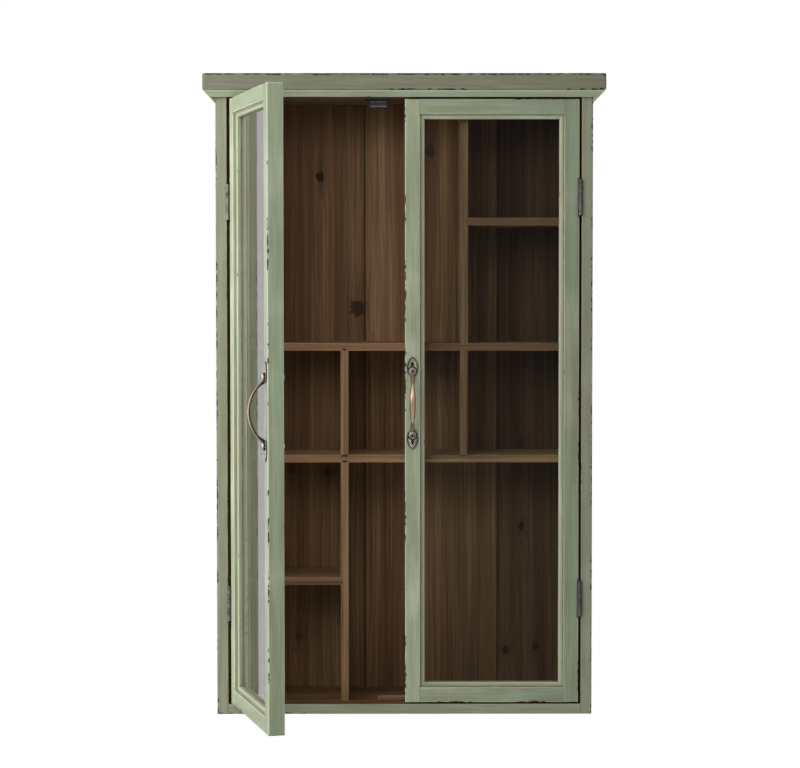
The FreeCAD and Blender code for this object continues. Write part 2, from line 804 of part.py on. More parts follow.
def door_rail(way, low):
    """A rail with a stub tenon on each end."""
    between = span(way, SIGHT_NEAR, SIGHT_FAR)
    tenons = span(way, SIGHT_NEAR - S.tenon_length, SIGHT_FAR + S.tenon_length)
    return fuse([
        block(between, (DOOR_FACE, DOOR_BACK), (low, low + S.frame_width)),
        block(tenons, tenon_depth(), tenon_levels(low)),
    ])


def bead_ring(way, outline, **arc):
    """Four mitred beads round the door's opening."""
    wide = SIGHT_FAR - SIGHT_NEAR
    tall = SIGHT_HIGH - SIGHT_LOW
    middle_x = (SIGHT_NEAR + SIGHT_FAR) / 2 * way
    near_x, far_x = span(way, SIGHT_NEAR, SIGHT_FAR)
    middle_z = (SIGHT_LOW + SIGHT_HIGH) / 2
    lay_flat = FreeCAD.Rotation(FreeCAD.Vector(0, 1, 1), 180)
    places = (
        (wide, 0, middle_x + wide / 2, SIGHT_LOW),
        (tall, 90, near_x, middle_z - tall / 2),
        (wide, 180, middle_x - wide / 2, SIGHT_HIGH),
        (tall, 270, far_x, middle_z + tall / 2),
    )
    sticks = []
    for run, angle, x, z in places:
        width = S.bead_width
        bead = stick(run, outline, [
            [(ZERO, ZERO), (width, width), (ZERO, width)],
            [(run, ZERO), (run, width), (run - width, width)],
        ], **arc)
        turn = FreeCAD.Rotation(FreeCAD.Vector(0, 1, 0), angle).multiply(lay_flat)
        sticks.append(place(bead, x, DOOR_FACE, z, turn))
    return group(sticks)


def front_bead_outline():
    """A quirk and a round nose: y runs in from the frame, z back from the door's face."""
    width, quirk, depth = S.bead_width, S.bead_quirk_width, S.bead_quirk_depth
    back = S.glass_setback
    return [(ZERO, back), (width, back), (width, depth), (quirk, depth), (ZERO, depth)]


def rear_bead_outline():
    """A bevelled square section behind the glass."""
    front = S.glass_setback + S.glass_thickness
    back = front + S.rear_bead_depth
    bevel = S.rear_bead_bevel
    return [
        (ZERO, front), (S.bead_width, front), (S.bead_width, back - bevel),
        (S.bead_width - bevel, back), (ZERO, back)]


def bow(x, z):
    """The handle's bow: oval sections along an arc between its two bosses."""
    half = S.handle_centres.value / 2
    root = S.rosette_thickness.value + S.handle_boss_radius.value * BOW_ROOT_SHARE
    crown = S.handle_projection.value - S.handle_grip_thickness.value / 2
    rise = crown - root
    radius = (half * half + rise * rise) / (2 * rise)
    half_angle = math.asin(half / radius)
    sections = []
    for along_share, width_share, thickness_share in BOW_SHARES:
        angle = half_angle * along_share
        out = crown - radius + radius * math.cos(angle)
        centre = FreeCAD.Vector(x.value, DOOR_FACE.value - out, z.value + radius * math.sin(angle))
        across = FreeCAD.Vector(S.handle_grip_width.value / 2 * width_share, 0, 0)
        radial = FreeCAD.Vector(0, -math.cos(angle), math.sin(angle))
        radial.multiply(S.handle_grip_thickness.value / 2 * thickness_share)
        long_axis, short_axis = (across, radial) if across.Length >= radial.Length else (radial, across)
        oval = Part.Ellipse(centre + long_axis, centre + short_axis, centre)
        sections.append(Part.Wire(oval.toShape()))
    feature = DOC.addObject("Part::Feature", "bow")
    feature.Shape = Part.makeLoft(sections, True, False)
    return feature


def boss(x, z):
    """The domed boss that a bow's end runs into."""
    dome = DOC.addObject("Part::Sphere", "boss")
    dome.Angle1 = 0
    bind(dome, "Radius", S.handle_boss_radius)
    return place(dome, x, DOOR_FACE - S.rosette_thickness, z, TURNS["-y"])


def rosette(x, z, up):
    """A pointed leaf plate behind a boss, with a round foot and two side lobes."""
    waist = S.rosette_tip_length * ROSETTE_WAIST_SHARE
    reach = S.rosette_tip_length - waist
    wide = S.rosette_half_width
    radius = (reach * reach + wide * wide) / (wide * 2)
    y = DOOR_FACE
    thick = S.rosette_thickness
    leaf = DOC.addObject("Part::MultiCommon", "leaf")
    levels = (z, z + S.rosette_tip_length) if up > 0 else (z - S.rosette_tip_length, z)
    leaf.Shapes = [
        rod(radius, thick, x - radius + wide, y, z + waist * up, "-y"),
        rod(radius, thick, x + radius - wide, y, z + waist * up, "-y"),
        block((x - wide, x + wide), (y - thick, y), levels),
    ]
    shapes = [leaf, rod(S.rosette_disc_radius, thick, x, y, z, "-y")]
    for side in (-1, 1):
        shapes.append(rod(
            S.rosette_lobe_radius, thick,
            x + wide * LOBE_SIDE_SHARE * side, y, z + S.rosette_tip_length * LOBE_RISE_SHARE * up, "-y"))
    hole = S.handle_screw_radius + S.handle_screw_clearance
    return cut(fuse(shapes), [rod(hole, thick + S.overrun, x, y, z, "-y")])


def handle(way):
    """A bow handle: the grip with its bosses, two rosettes and two machine screws."""
    x = HANDLE_X * way
    z = HANDLE_Z
    bosses, holes, rosettes, screws = [], [], [], []
    for up in (-1, 1):
        end = z + S.handle_centres / 2 * up
        bosses.append(boss(x, end))
        reach = S.rosette_thickness + S.handle_screw_grip
        holes.append(rod(S.handle_screw_radius, reach, x, DOOR_FACE, end, "-y"))
        rosettes.append(rosette(x, end, up))
        screws.append(fuse([
            rod(S.handle_screw_radius, S.door_thickness + reach, x, DOOR_BACK, end, "-y"),
            rod(S.handle_screw_head_radius, S.handle_screw_head_height, x, DOOR_BACK, end, "+y"),
        ]))
    grip = cut(fuse([bow(x, z)] + bosses), holes)
    return grip, group(rosettes), group(screws)


def door(hand, name):
    """One glazed door, built about its hinge axis and hung on it."""
    way = -hand
    tools = []
    for low in hinge_levels(hand):
        tools.append(fuse(hinge_cuts(way, low, S.door_notch_clearance)))
    hinge_stile = door_stile(way, DOOR_EDGE, SIGHT_NEAR - S.tenon_length, tools)

    hole = S.handle_screw_radius + S.handle_screw_clearance
    tools = [
        rod(hole, S.door_thickness, HANDLE_X * way, DOOR_BACK, HANDLE_Z + S.handle_centres / 2 * up, "-y")
        for up in (-1, 1)]
    meeting_stile = door_stile(way, SIGHT_FAR, SIGHT_FAR, tools)
    bottom_low, top_low = rail_lows()
    play = S.glass_clearance
    glass = block(
        span(way, SIGHT_NEAR + play, SIGHT_FAR - play),
        (DOOR_FACE + S.glass_setback, DOOR_FACE + S.glass_setback + S.glass_thickness),
        (SIGHT_LOW + play, SIGHT_HIGH - play),
    )
    nose = (S.bead_quirk_width + S.bead_width) / 2
    front_beads = bead_ring(
        way, front_bead_outline(), arc_after=2, arc_centre=(nose, S.bead_quirk_depth))
    rear_beads = bead_ring(way, rear_bead_outline())
    grip, rosettes, handle_screws = handle(way)

    leaves, screws = [], []
    for low in hinge_levels(hand):
        leaf, leaf_screws = hinge_leaf(way, low, range(1, KNUCKLES, 2), "+x" if way > 0 else "-x")
        leaves.append(leaf)
        screws.extend(leaf_screws)
    strike_x = (AXIS_X - S.catch_offset) * way
    half = S.strike_width / 2
    strike_back = DOOR_BACK + S.strike_thickness
    screw, seat = screw_parts(
        strike_x, strike_back, CATCH_MIDDLE, "-y", S.screw_length, S.strike_thickness)
    screws.append(screw)
    strike = cut(block(
        (strike_x - half, strike_x + half),
        (DOOR_BACK, strike_back),
        (CATCH_MIDDLE - S.strike_height / 2, CATCH_MIDDLE + S.strike_height / 2),
    ), [seat])

    pieces = {
        "hinge_stile": hinge_stile,
        "meeting_stile": meeting_stile,
        "bottom_rail": door_rail(way, bottom_low),
        "top_rail": door_rail(way, top_low),
        "glass_pane": glass,
        "front_beads": front_beads,
        "rear_beads": rear_beads,
        "handle_grip": grip,
        "handle_rosettes": rosettes,
        "handle_screws": handle_screws,
        "door_hinge_leaves": group(leaves),
        "door_wood_screws": group(screws),
        "strike_plate": strike,
    }
    for piece, obj in pieces.items():
        if obj.TypeId == "Part::Box":
            obj = group([obj])
        node(f"{name}_{piece}", hang(hand, obj))


def write_parts():
    """Checks the document and writes one file for each node."""
    DOC.recompute()
    for obj in DOC.Objects:
        if "Invalid" in obj.State or "Error" in obj.State:
            raise RuntimeError(f"{obj.Name} ({obj.Label}) failed: {obj.State}")
    os.makedirs("parts", exist_ok=True)
    for name, obj in NODES.items():
        if obj.Shape.isNull() or not obj.Shape.isValid():
            raise RuntimeError(f"{name} has no valid shape")
        obj.Shape.exportStep(f"parts/{name}.step")
        solids = obj.Shape.Solids
        print(f"{name}: {len(solids)} solid(s), {sum(s.Volume for s in solids) / 1000:.2f} cm3")


carcass()
door(-1, "left")
door(1, "right")
write_parts()
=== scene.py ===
"""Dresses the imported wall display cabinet: worn sage paint, stained fir, clear glass and antique brass.

Lengths are metres in the row's own frame: +X is to the right seen from the room, +Y points into the
wall and +Z is up. The doors are built in a frame of their own: u runs from the hinge axis to the
meeting edge, v runs into the cabinet and z is up.
"""

import json
import logging
import math
from dataclasses import dataclass, field, replace
from enum import Enum
from typing import Iterable

import bmesh
import bpy
import numpy as np
from mathutils import Matrix, Vector, noise

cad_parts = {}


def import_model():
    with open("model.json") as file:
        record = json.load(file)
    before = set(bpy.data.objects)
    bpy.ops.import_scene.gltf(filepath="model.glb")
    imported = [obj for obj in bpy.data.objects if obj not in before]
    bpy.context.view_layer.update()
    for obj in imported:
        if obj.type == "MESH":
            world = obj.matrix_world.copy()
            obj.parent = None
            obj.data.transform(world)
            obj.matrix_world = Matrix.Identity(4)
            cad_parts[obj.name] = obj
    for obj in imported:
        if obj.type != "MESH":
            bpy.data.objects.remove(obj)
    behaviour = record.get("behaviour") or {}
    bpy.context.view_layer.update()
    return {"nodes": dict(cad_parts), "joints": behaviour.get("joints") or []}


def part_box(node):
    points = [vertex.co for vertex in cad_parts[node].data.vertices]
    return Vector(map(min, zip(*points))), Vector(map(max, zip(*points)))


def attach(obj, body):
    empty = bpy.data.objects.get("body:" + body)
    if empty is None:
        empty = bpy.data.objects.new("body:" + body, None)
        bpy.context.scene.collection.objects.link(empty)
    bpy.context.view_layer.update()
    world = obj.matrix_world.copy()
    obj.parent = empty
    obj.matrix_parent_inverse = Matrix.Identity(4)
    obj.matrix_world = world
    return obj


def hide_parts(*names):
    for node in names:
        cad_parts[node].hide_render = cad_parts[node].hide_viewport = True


log = logging.getLogger("cabinet")

Triple = tuple[float, float, float]
Colour = tuple[float, float, float]
Span = tuple[float, float]
Tone = float | Span
Socket = bpy.types.NodeSocket
FAR = 1.0
WHITE = (1.0, 1.0, 1.0)
PAINTED, STAINED = 0, 1
SHARP = 40.0
# A mix node's colour sockets share their names with others, so they go by number.
FIRST_COLOUR, SECOND_COLOUR, MIXED_COLOUR = 6, 7, 2


class Slot(str, Enum):
    """The record's material slots."""

    PAINT = "painted_wood"
    STAIN = "stained_wood"
    GLASS = "clear_glass"
    BRASS = "antique_brass"
    HINGE = "hinge_steel"
    ZINC = "zinc_steel"
    PLASTIC = "catch_plastic"
    FERRITE = "magnet_ferrite"


class Body(str, Enum):
    """The bodies that pieces ride on."""

    CARCASS = "carcass"
    LEFT = "left_door"
    RIGHT = "right_door"


class Hand(int, Enum):
    """Left or right, as the sign of X."""

    LEFT = -1
    RIGHT = 1

    @property
    def word(self) -> str:
        """The first word of this hand's nodes."""
        return self.name.lower()


class Wear(float, Enum):
    """How worn an edge is, from kept to bare in long stretches."""

    NONE = 0.0
    FAINT = 0.45
    LIGHT = 0.62
    MEDIUM = 0.8
    STRONG = 0.98
    HEAVY = 1.25


class Run(Enum):
    """Which local axes a timber's length, section u and section v lie on."""

    ACROSS = (0, 1, 2)
    DEEP = (1, 0, 2)
    UPRIGHT = (2, 0, 1)
    ACROSS_FACE = (0, 2, 1)


@dataclass(frozen=True)
class Cloud:
    """A noise texture: its scale on each axis in turns a metre, its detail and its roughness."""

    scale: Triple
    detail: float = 3.0
    rough: float = 0.55


@dataclass(frozen=True)
class Ramp:
    """A smooth step: between low and high the result goes from first to last."""

    low: float
    high: float
    first: float = 0.0
    last: float = 1.0


def smooth(share: float | np.ndarray) -> float | np.ndarray:
    """Eases a share between nought and one at both ends."""
    return share * share * (3 - 2 * share)


def wave(turns: np.ndarray) -> np.ndarray:
    """A wave between nought and one, which is one at every whole turn."""
    return 0.5 + 0.5 * np.cos(2 * math.pi * turns)


class Shader:
    """A node tree under construction, with short calls for the nodes that the finishes share."""

    def __init__(self, tree: bpy.types.NodeTree) -> None:
        """Empties a node tree and takes it over."""
        self.tree = tree
        tree.nodes.clear()

    def node(self, kind: str, inputs: dict | None = None, **settings: object) -> bpy.types.Node:
        """Adds one node.

        Args:
            kind: The node's type without the ShaderNode prefix.
            inputs: Socket names or indices, each with a socket to link or a value to set.
            settings: Properties of the node.

        Returns:
            The new node.
        """
        made = self.tree.nodes.new("ShaderNode" + kind)
        for key, value in settings.items():
            setattr(made, key, value)
        for key, value in (inputs or {}).items():
            target = made.inputs[key]
            if isinstance(value, Socket):
                self.tree.links.new(value, target)
            elif target.type == "RGBA":
                target.default_value = (*value, 1.0)
            else:
                target.default_value = value
        return made

    def attribute(self, name: str, output: str = "Fac") -> Socket:
        """Reads a value that the mesh carries at its points."""
        return self.node("Attribute", attribute_name=name).outputs[output]

    def position(self) -> Socket:
        """The place of the point that is shaded."""
        return self.node("NewGeometry").outputs["Position"]

    def maths(self, operation: str, *values: object) -> Socket:
        """One arithmetic step on sockets or numbers."""
        return self.node("Math", dict(enumerate(values)), operation=operation).outputs[0]

    def times(self, first: object, second: object) -> Socket:
        """Multiplies two sockets or numbers."""
        return self.maths("MULTIPLY", first, second)

    def fading(self, distance: object, reach: float) -> Socket:
        """A level that falls off from one with distance."""
        return self.maths("EXPONENT", self.times(distance, -1.0 / reach))

    def remap(self, value: object, ramp: Ramp) -> Socket:
        """Maps a value by a ramp.

        Args:
            value: A socket or number.
            ramp: The ramp.

        Returns:
            The mapped value.
        """
        inputs = {"Value": value, "From Min": ramp.low, "From Max": ramp.high,
                  "To Min": ramp.first, "To Max": ramp.last}
        return self.node("MapRange", inputs, interpolation_type="SMOOTHSTEP").outputs[0]

    def blend(self, share: object, first: object, second: object) -> Socket:
        """Mixes two colours by a share."""
        inputs = {0: share, FIRST_COLOUR: first, SECOND_COLOUR: second}
        return self.node("Mix", inputs, data_type="RGBA").outputs[MIXED_COLOUR]

    def vector(self, operation: str, first: object, second: object) -> bpy.types.Node:
        """One step on two vectors."""
        return self.node("VectorMath", {0: first, 1: second}, operation=operation)

    def stretch(self, vector: object, scale: Triple) -> Socket:
        """Multiplies a vector by one number for each axis."""
        return self.vector("MULTIPLY", vector, scale).outputs[0]

    def length(self, vector: object) -> Socket:
        """How long a vector is."""
        return self.node("VectorMath", {0: vector}, operation="LENGTH").outputs["Value"]

    def dim(self, colour: object, level: object) -> Socket:
        """Multiplies a colour by a level."""
        return self.node("VectorMath", {0: colour, "Scale": level}, operation="SCALE").outputs[0]

    def noise(self, vector: object, cloud: Cloud) -> Socket:
        """A cloud of values about a half.

        Args:
            vector: The coordinates.
            cloud: The texture's settings.

        Returns:
            The values.
        """
        inputs = {"Vector": self.stretch(vector, cloud.scale), "Scale": 1.0, "Detail": cloud.detail,
                  "Roughness": cloud.rough}
        return self.node("TexNoise", inputs).outputs[0]

    def specks(self, vector: object, cells: Triple, edge: Ramp) -> Socket:
        """Small round spots, one in each cell, which fade by a ramp on their radius."""
        found = self.node("TexVoronoi", {"Vector": self.stretch(vector, cells), "Scale": 1.0})
        return self.remap(found.outputs[0], edge)

    def bump(self, height: object, distance: float, strength: float) -> Socket:
        """Turns a height from nought to one into a shading normal."""
        inputs = {"Height": height, "Distance": distance, "Strength": strength}
        return self.node("Bump", inputs).outputs[0]

    def surface(self, shader: Socket) -> None:
        """Puts a shader on the surface."""
        self.node("OutputMaterial", {"Surface": shader})

    def principled(self, **inputs: object) -> Socket:
        """A principled shader whose sockets are named with underscores."""
        named = {key.replace("_", " "): value for key, value in inputs.items()}
        return self.node("BsdfPrincipled", named).outputs[0]


@dataclass(frozen=True)
class Finish:
    """A finish, written to a material the first time that it is used."""

    name: str

    def material(self) -> bpy.types.Material:
        """Finds the finish's material, or writes it.

        Returns:
            The material.
        """
        found = bpy.data.materials.get(self.name)
        if found is None:
            found = bpy.data.materials.new(self.name)
            found.use_nodes = True
            self.mix(Shader(found.node_tree))
        return found

    def mix(self, s: Shader) -> None:
        """Writes the finish's nodes."""
        raise NotImplementedError


@dataclass(frozen=True)
class PartFinish(Finish):
    """A finish that stands for one of the record's material slots."""

    slot: Slot


@dataclass(frozen=True)
class SagePaint(PartFinish):
    """Hand-brushed sage paint: streaked along the grain, glazed and darkened with painted shade in
    crevices, worn off the edges and lightened along them with a painted highlight.
    """

    pale: Colour = (0.40, 0.437, 0.322)
    body: Colour = (0.295, 0.352, 0.235)
    olive: Colour = (0.245, 0.268, 0.172)
    aged: Colour = (0.295, 0.30, 0.197)
    taupe: Colour = (0.27, 0.235, 0.16)
    # A dark glazing colour that also stands in for painted shade in crevices and joints.
    glaze_and_shade: Colour = (0.085, 0.078, 0.046)
    # Pale rubbed paint, which also serves as a painted highlight along the arrises.
    rubbed: Colour = (0.50, 0.505, 0.40)
    fresh: Colour = (0.25, 0.345, 0.215)
    bare: Colour = (0.046, 0.034, 0.024)
    char: Colour = (0.014, 0.012, 0.010)
    streaks: Cloud = Cloud((4.0, 85.0, 85.0), 4.0, 0.62)
    streak_body: Ramp = Ramp(0.36, 0.62)
    streak_age: Ramp = Ramp(0.3, 0.7, 1.0, 0.6)
    streak_rough: Ramp = Ramp(0.3, 0.7, 0.46, 0.6)
    patches: Cloud = Cloud((7.0, 13.0, 13.0))
    patch_pale: Ramp = Ramp(0.47, 0.74)
    strokes: Cloud = Cloud((6.0, 130.0, 130.0), 4.0, 0.65)
    stroke_fresh: Ramp = Ramp(0.5, 0.7, 0.0, 0.6)
    drags: Cloud = Cloud((11.0, 300.0, 300.0), 4.0, 0.6)
    drag_thin: Ramp = Ramp(0.47, 0.68)
    drag_age: Ramp = Ramp(0.0, 1.0, 0.3, 0.85)
    brush: Cloud = Cloud((18.0, 620.0, 620.0), 3.0, 0.6)
    brush_shade: Ramp = Ramp(0.25, 0.75, 0.9, 1.09)
    brush_height: float = 0.4
    # The next two ramps set the pale line along each arris: partly worn paint and partly a painted
    # highlight.
    edge_rub_and_highlight: Ramp = Ramp(0.0, 0.0019, 0.85, 0.0)
    edge_age: Ramp = Ramp(0.0, 0.6, 1.0, 0.25)
    dirt: Cloud = Cloud((60.0, 140.0, 140.0), 3.0, 0.6)
    dirt_settled: Ramp = Ramp(0.3, 0.6, 0.5, 0.95)
    chips: Cloud = Cloud((190.0, 380.0, 380.0), 4.0, 0.65)
    chip_reach: float = 0.0026
    chip_edge: Ramp = Ramp(-0.02, 0.05)
    chip_wood: Ramp = Ramp(0.3, 0.6)
    chip_rough: float = 0.2
    nibbles: Cloud = Cloud((105.0, 105.0, 105.0), 4.0, 0.7)
    nibble_reach: Ramp = Ramp(0.36, 0.62, 0.2, 1.4)
    nick_cells: Triple = (38.0, 75.0, 75.0)
    nick_edge: Ramp = Ramp(0.03, 0.075, 1.0, 0.0)
    nick_fields: Cloud = Cloud((9.0, 14.0, 14.0))
    nick_field_edge: Ramp = Ramp(0.56, 0.64)
    nick_share: float = 0.85
    gloss: float = 0.35
    relief: Span = (0.0004, 0.55)

    def mix(self, s: Shader) -> None:
        """Writes the paint's coats, rubbed edges with a painted highlight, the board's painted light and
        shade, dirty glazing with painted shade in crevices, chips and brush marks.

        Args:
            s: The material's node tree.
        """
        grain = s.attribute("grain", "Vector")
        arris = s.attribute("arris")
        age = s.attribute("age")
        streak = s.noise(grain, self.streaks)
        brush = s.noise(grain, self.brush)
        fine = s.noise(grain, self.chips)
        colour = s.dim(self.coats(s, grain, streak, age), s.remap(brush, self.brush_shade))
        # Painted highlight: arrises are lightened towards the pale rubbed colour, partly as worn paint and
        # partly as highlight. The board's level of colour then adds painted light and shade.
        edge = s.times(s.remap(arris, self.edge_rub_and_highlight), s.remap(age, self.edge_age))
        colour = s.dim(s.blend(edge, colour, self.rubbed), s.attribute("tone_and_light"))
        # Painted shade: crevices and joints darken towards the dark glazing colour, broken up by noise;
        # this is partly dirty glazing and partly shade.
        dirt = s.remap(s.noise(grain, self.dirt), self.dirt_settled)
        colour = s.blend(s.times(s.attribute("crevice_dirt_and_shade"), dirt), colour, self.glaze_and_shade)
        chip = self.chipped(s, grain, arris, fine)
        wood = s.blend(s.remap(fine, self.chip_wood), self.char, self.bare)
        colour = s.blend(chip, colour, wood)
        rough = s.maths("ADD", s.remap(streak, self.streak_rough), s.times(chip, self.chip_rough))
        height = s.maths("SUBTRACT", s.times(brush, self.brush_height), chip)
        s.surface(s.principled(Base_Color=colour, Roughness=rough, Specular_IOR_Level=self.gloss,
                               Normal=s.bump(height, *self.relief)))

    def coats(self, s: Shader, grain: Socket, streak: Socket, age: Socket) -> Socket:
        """The paint's own colour: streaks, pale patches, fresh strokes, age and thin places.

        Args:
            s: The node tree.
            grain: The grain's coordinates.
            streak: The streaks along the grain.
            age: How far the paint has gone olive.

        Returns:
            The colour before edges, dirt and chips.
        """
        colour = s.blend(s.remap(streak, self.streak_body), self.olive, self.body)
        colour = s.blend(s.remap(s.noise(grain, self.patches), self.patch_pale), colour, self.pale)
        colour = s.blend(s.remap(s.noise(grain, self.strokes), self.stroke_fresh), colour, self.fresh)
        colour = s.blend(s.times(age, s.remap(streak, self.streak_age)), colour, self.aged)
        thin = s.times(s.remap(s.noise(grain, self.drags), self.drag_thin), s.remap(age, self.drag_age))
        return s.blend(thin, colour, self.taupe)

    def chipped(self, s: Shader, grain: Socket, arris: Socket, fine: Socket) -> Socket:
        """Where bare wood shows: chips along worn edges, and nicks here and there on the faces.

        Args:
            s: The node tree.
            grain: The grain's coordinates.
            arris: The distance from the nearest edge.
            fine: The fine cloud that breaks up the chips.

        Returns:
            The share of bare wood.
        """
        worn = s.times(s.fading(arris, self.chip_reach), s.attribute("wear"))
        reach = s.times(worn, s.remap(s.noise(grain, self.nibbles), self.nibble_reach))
        chip = s.remap(s.maths("SUBTRACT", reach, fine), self.chip_edge)
        nick = s.times(s.specks(grain, self.nick_cells, self.nick_edge),
                       s.remap(s.noise(grain, self.nick_fields), self.nick_field_edge))
        return s.maths("MAXIMUM", chip, s.times(nick, self.nick_share))


@dataclass(frozen=True)
class Knot:
    """A knot in the back: its place across and up the boards, radius, darkness and its cracks' slopes."""

    x: float
    z: float
    radius: float
    dark: float
    checks: tuple[float, ...] = ()


@dataclass(frozen=True)
class StainedFir(PartFinish):
    """Dark-stained fir with growth rings, fibres, rubbed arrises that also carry a painted highlight,
    painted shade in the joints and any knots that are given.
    """

    early: Colour = (0.205, 0.118, 0.056)
    russet: Colour = (0.155, 0.073, 0.035)
    late: Colour = (0.088, 0.043, 0.019)
    # Pale rubbed wood, which also serves as a painted highlight along the arrises.
    rubbed: Colour = (0.38, 0.24, 0.14)
    core: Colour = (0.016, 0.009, 0.005)
    knots: tuple[Knot, ...] = ()
    board_axes: bool = False
    ring: float = 0.0072
    ring_late: Ramp = Ramp(0.35, 0.88)
    ring_end: Ramp = Ramp(0.9, 1.0, 1.0, 0.0)
    late_share: float = 0.36
    waver: Cloud = Cloud((1.3, 26.0, 26.0))
    waver_rings: float = 4.5
    swell_rings: float = 1.7
    swell_shade: Ramp = Ramp(0.0, 1.0, 1.0, 0.8)
    swell_shares: Span = (0.5, 0.2)
    bands: Cloud = Cloud((1.1, 38.0, 38.0))
    band_russet: Ramp = Ramp(0.4, 0.64)
    streaks: Cloud = Cloud((1.8, 70.0, 70.0), 4.0, 0.6)
    streak_shade: Ramp = Ramp(0.3, 0.7, 0.7, 1.25)
    lines: Cloud = Cloud((3.5, 330.0, 330.0), 3.0, 0.6)
    line_shade: Ramp = Ramp(0.3, 0.46, 0.62, 1.0)
    fibres: Cloud = Cloud((9.0, 1000.0, 1000.0), 3.0, 0.6)
    fibre_shade: Ramp = Ramp(0.25, 0.75, 0.82, 1.16)
    fibre_rough: Ramp = Ramp(0.3, 0.7, 0.56, 0.72)
    rubs: Cloud = Cloud((45.0, 260.0, 260.0))
    rub_reach: float = 0.0022
    rub_edge: Ramp = Ramp(-0.12, 0.3)
    rub_and_highlight_share: float = 0.75
    grime_and_shade_share: float = 0.8
    knot_rim: Cloud = Cloud((240.0, 240.0, 190.0), 4.0, 0.7)
    knot_ragged: Ramp = Ramp(0.3, 0.7, -0.22, 0.22)
    knot_edge: Span = (0.8, 1.12)
    knot_squash: float = 0.8
    check_width: Ramp = Ramp(0.05, 0.14, 0.85, 0.0)
    check_length: Ramp = Ramp(1.1, 1.7, 1.0, 0.0)
    height_share: float = 0.5
    gloss: float = 0.15
    relief: Span = (0.0003, 0.5)

    def coordinates(self, s: Shader) -> Socket:
        """The grain's coordinates: from the mesh's own values, or from place for a plain board.

        Args:
            s: The material's node tree.

        Returns:
            Places along the trunk and off its middle.
        """
        if not self.board_axes:
            return s.attribute("grain", "Vector")
        x, y, z = s.node("SeparateXYZ", {0: s.position()}).outputs
        return s.node("CombineXYZ", {0: x, 1: z, 2: y}).outputs[0]

    def knot_fields(self, s: Shader) -> tuple[object, object]:
        """Works out the knots.

        Args:
            s: The material's node tree.

        Returns:
            How far each point lies in a knot's core, and how far the grain swells round it.
        """
        place = s.position()
        ragged = s.remap(s.noise(place, self.knot_rim), self.knot_ragged)
        core: object = 0.0
        swell: object = 0.0
        for knot in self.knots:
            offset = s.vector("SUBTRACT", place, (knot.x, 0.0, knot.z)).outputs[0]
            scaled = s.stretch(offset, (1.0 / knot.radius, 0.0, self.knot_squash / knot.radius))
            rim = s.maths("ADD", s.length(scaled), ragged)
            core = s.maths("MAXIMUM", core, s.remap(rim, Ramp(*self.knot_edge, knot.dark, 0.0)))
            for slope in knot.checks:
                core = s.maths("MAXIMUM", core, self.check(s, scaled, slope))
            across, up = (share / knot.radius for share in self.swell_shares)
            away = s.length(s.stretch(offset, (across, 0.0, up)))
            swell = s.maths("ADD", swell, s.fading(s.times(away, away), 1.0))
        return core, swell

    def check(self, s: Shader, place: Socket, slope: float) -> Socket:
        """A drying crack across a knot.

        Args:
            s: The material's node tree.
            place: Places from the knot's middle, in its own radii.
            slope: The crack's slope in degrees.

        Returns:
            How far each point lies in the crack.
        """
        sine, cosine = math.sin(math.radians(slope)), math.cos(math.radians(slope))
        off, along = (
            s.maths("ABSOLUTE", s.vector("DOT_PRODUCT", place, way).outputs["Value"])
            for way in ((-sine, 0.0, cosine), (cosine, 0.0, sine)))
        return s.times(s.remap(off, self.check_width), s.remap(along, self.check_length))

    def mix(self, s: Shader) -> None:
        """Writes the rings, fibres, rubbed edges with a painted highlight, painted light and shade, and
        knots.

        Args:
            s: The material's node tree.
        """
        grain = self.coordinates(s)
        _, across, deep = s.node("SeparateXYZ", {0: grain}).outputs
        away = s.length(s.node("CombineXYZ", {1: across, 2: deep}).outputs[0])
        core, swell = self.knot_fields(s)
        turns = s.maths("ADD", s.maths("DIVIDE", away, self.ring),
                        s.times(s.noise(grain, self.waver), self.waver_rings))
        year = s.maths("FRACT", s.maths("ADD", turns, s.times(swell, self.swell_rings)))
        late = s.times(s.remap(year, self.ring_late), s.remap(year, self.ring_end))
        fibre = s.noise(grain, self.fibres)
        colour = s.blend(s.remap(s.noise(grain, self.bands), self.band_russet), self.early, self.russet)
        colour = s.blend(s.times(late, self.late_share), colour, self.late)
        colour = s.dim(colour, s.remap(s.noise(grain, self.streaks), self.streak_shade))
        if self.knots:
            colour = s.dim(colour, s.remap(swell, self.swell_shade))
        colour = s.dim(colour, s.remap(s.noise(grain, self.lines), self.line_shade))
        colour = s.dim(colour, s.remap(fibre, self.fibre_shade))
        if not self.board_axes:
            colour = self.handled(s, grain, colour)
        colour = s.blend(core, colour, self.core)
        height = s.maths("ADD", s.times(late, self.height_share), s.times(fibre, self.height_share))
        s.surface(s.principled(Base_Color=colour, Roughness=s.remap(fibre, self.fibre_rough),
                               Specular_IOR_Level=self.gloss, Normal=s.bump(height, *self.relief)))

    def handled(self, s: Shader, grain: Socket, colour: Socket) -> Socket:
        """Adds the board's level of colour with its painted light and shade, pale rubbed edges with a
        painted highlight, and joints darkened partly by soiling and partly with painted shade.

        Args:
            s: The node tree.
            grain: The grain's coordinates.
            colour: The wood's colour.

        Returns:
            The colour of wood that has been used.
        """
        # Painted light and shade: the board's level of colour lightens or darkens it by where the lamps
        # reach.
        colour = s.dim(colour, s.attribute("tone_and_light"))
        # Painted highlight: worn arrises are lightened towards the pale rubbed colour.
        worn = s.times(s.fading(s.attribute("arris"), self.rub_reach), s.attribute("wear"))
        rub_and_highlight = s.remap(s.maths("SUBTRACT", worn, s.noise(grain, self.rubs)), self.rub_edge)
        colour = s.blend(s.times(rub_and_highlight, self.rub_and_highlight_share), colour, self.rubbed)
        # Painted shade: crevices and joints darken towards the knot core colour, partly as soiling and
        # partly as shade.
        return s.blend(s.times(s.attribute("crevice_dirt_and_shade"), self.grime_and_shade_share), colour, self.core)


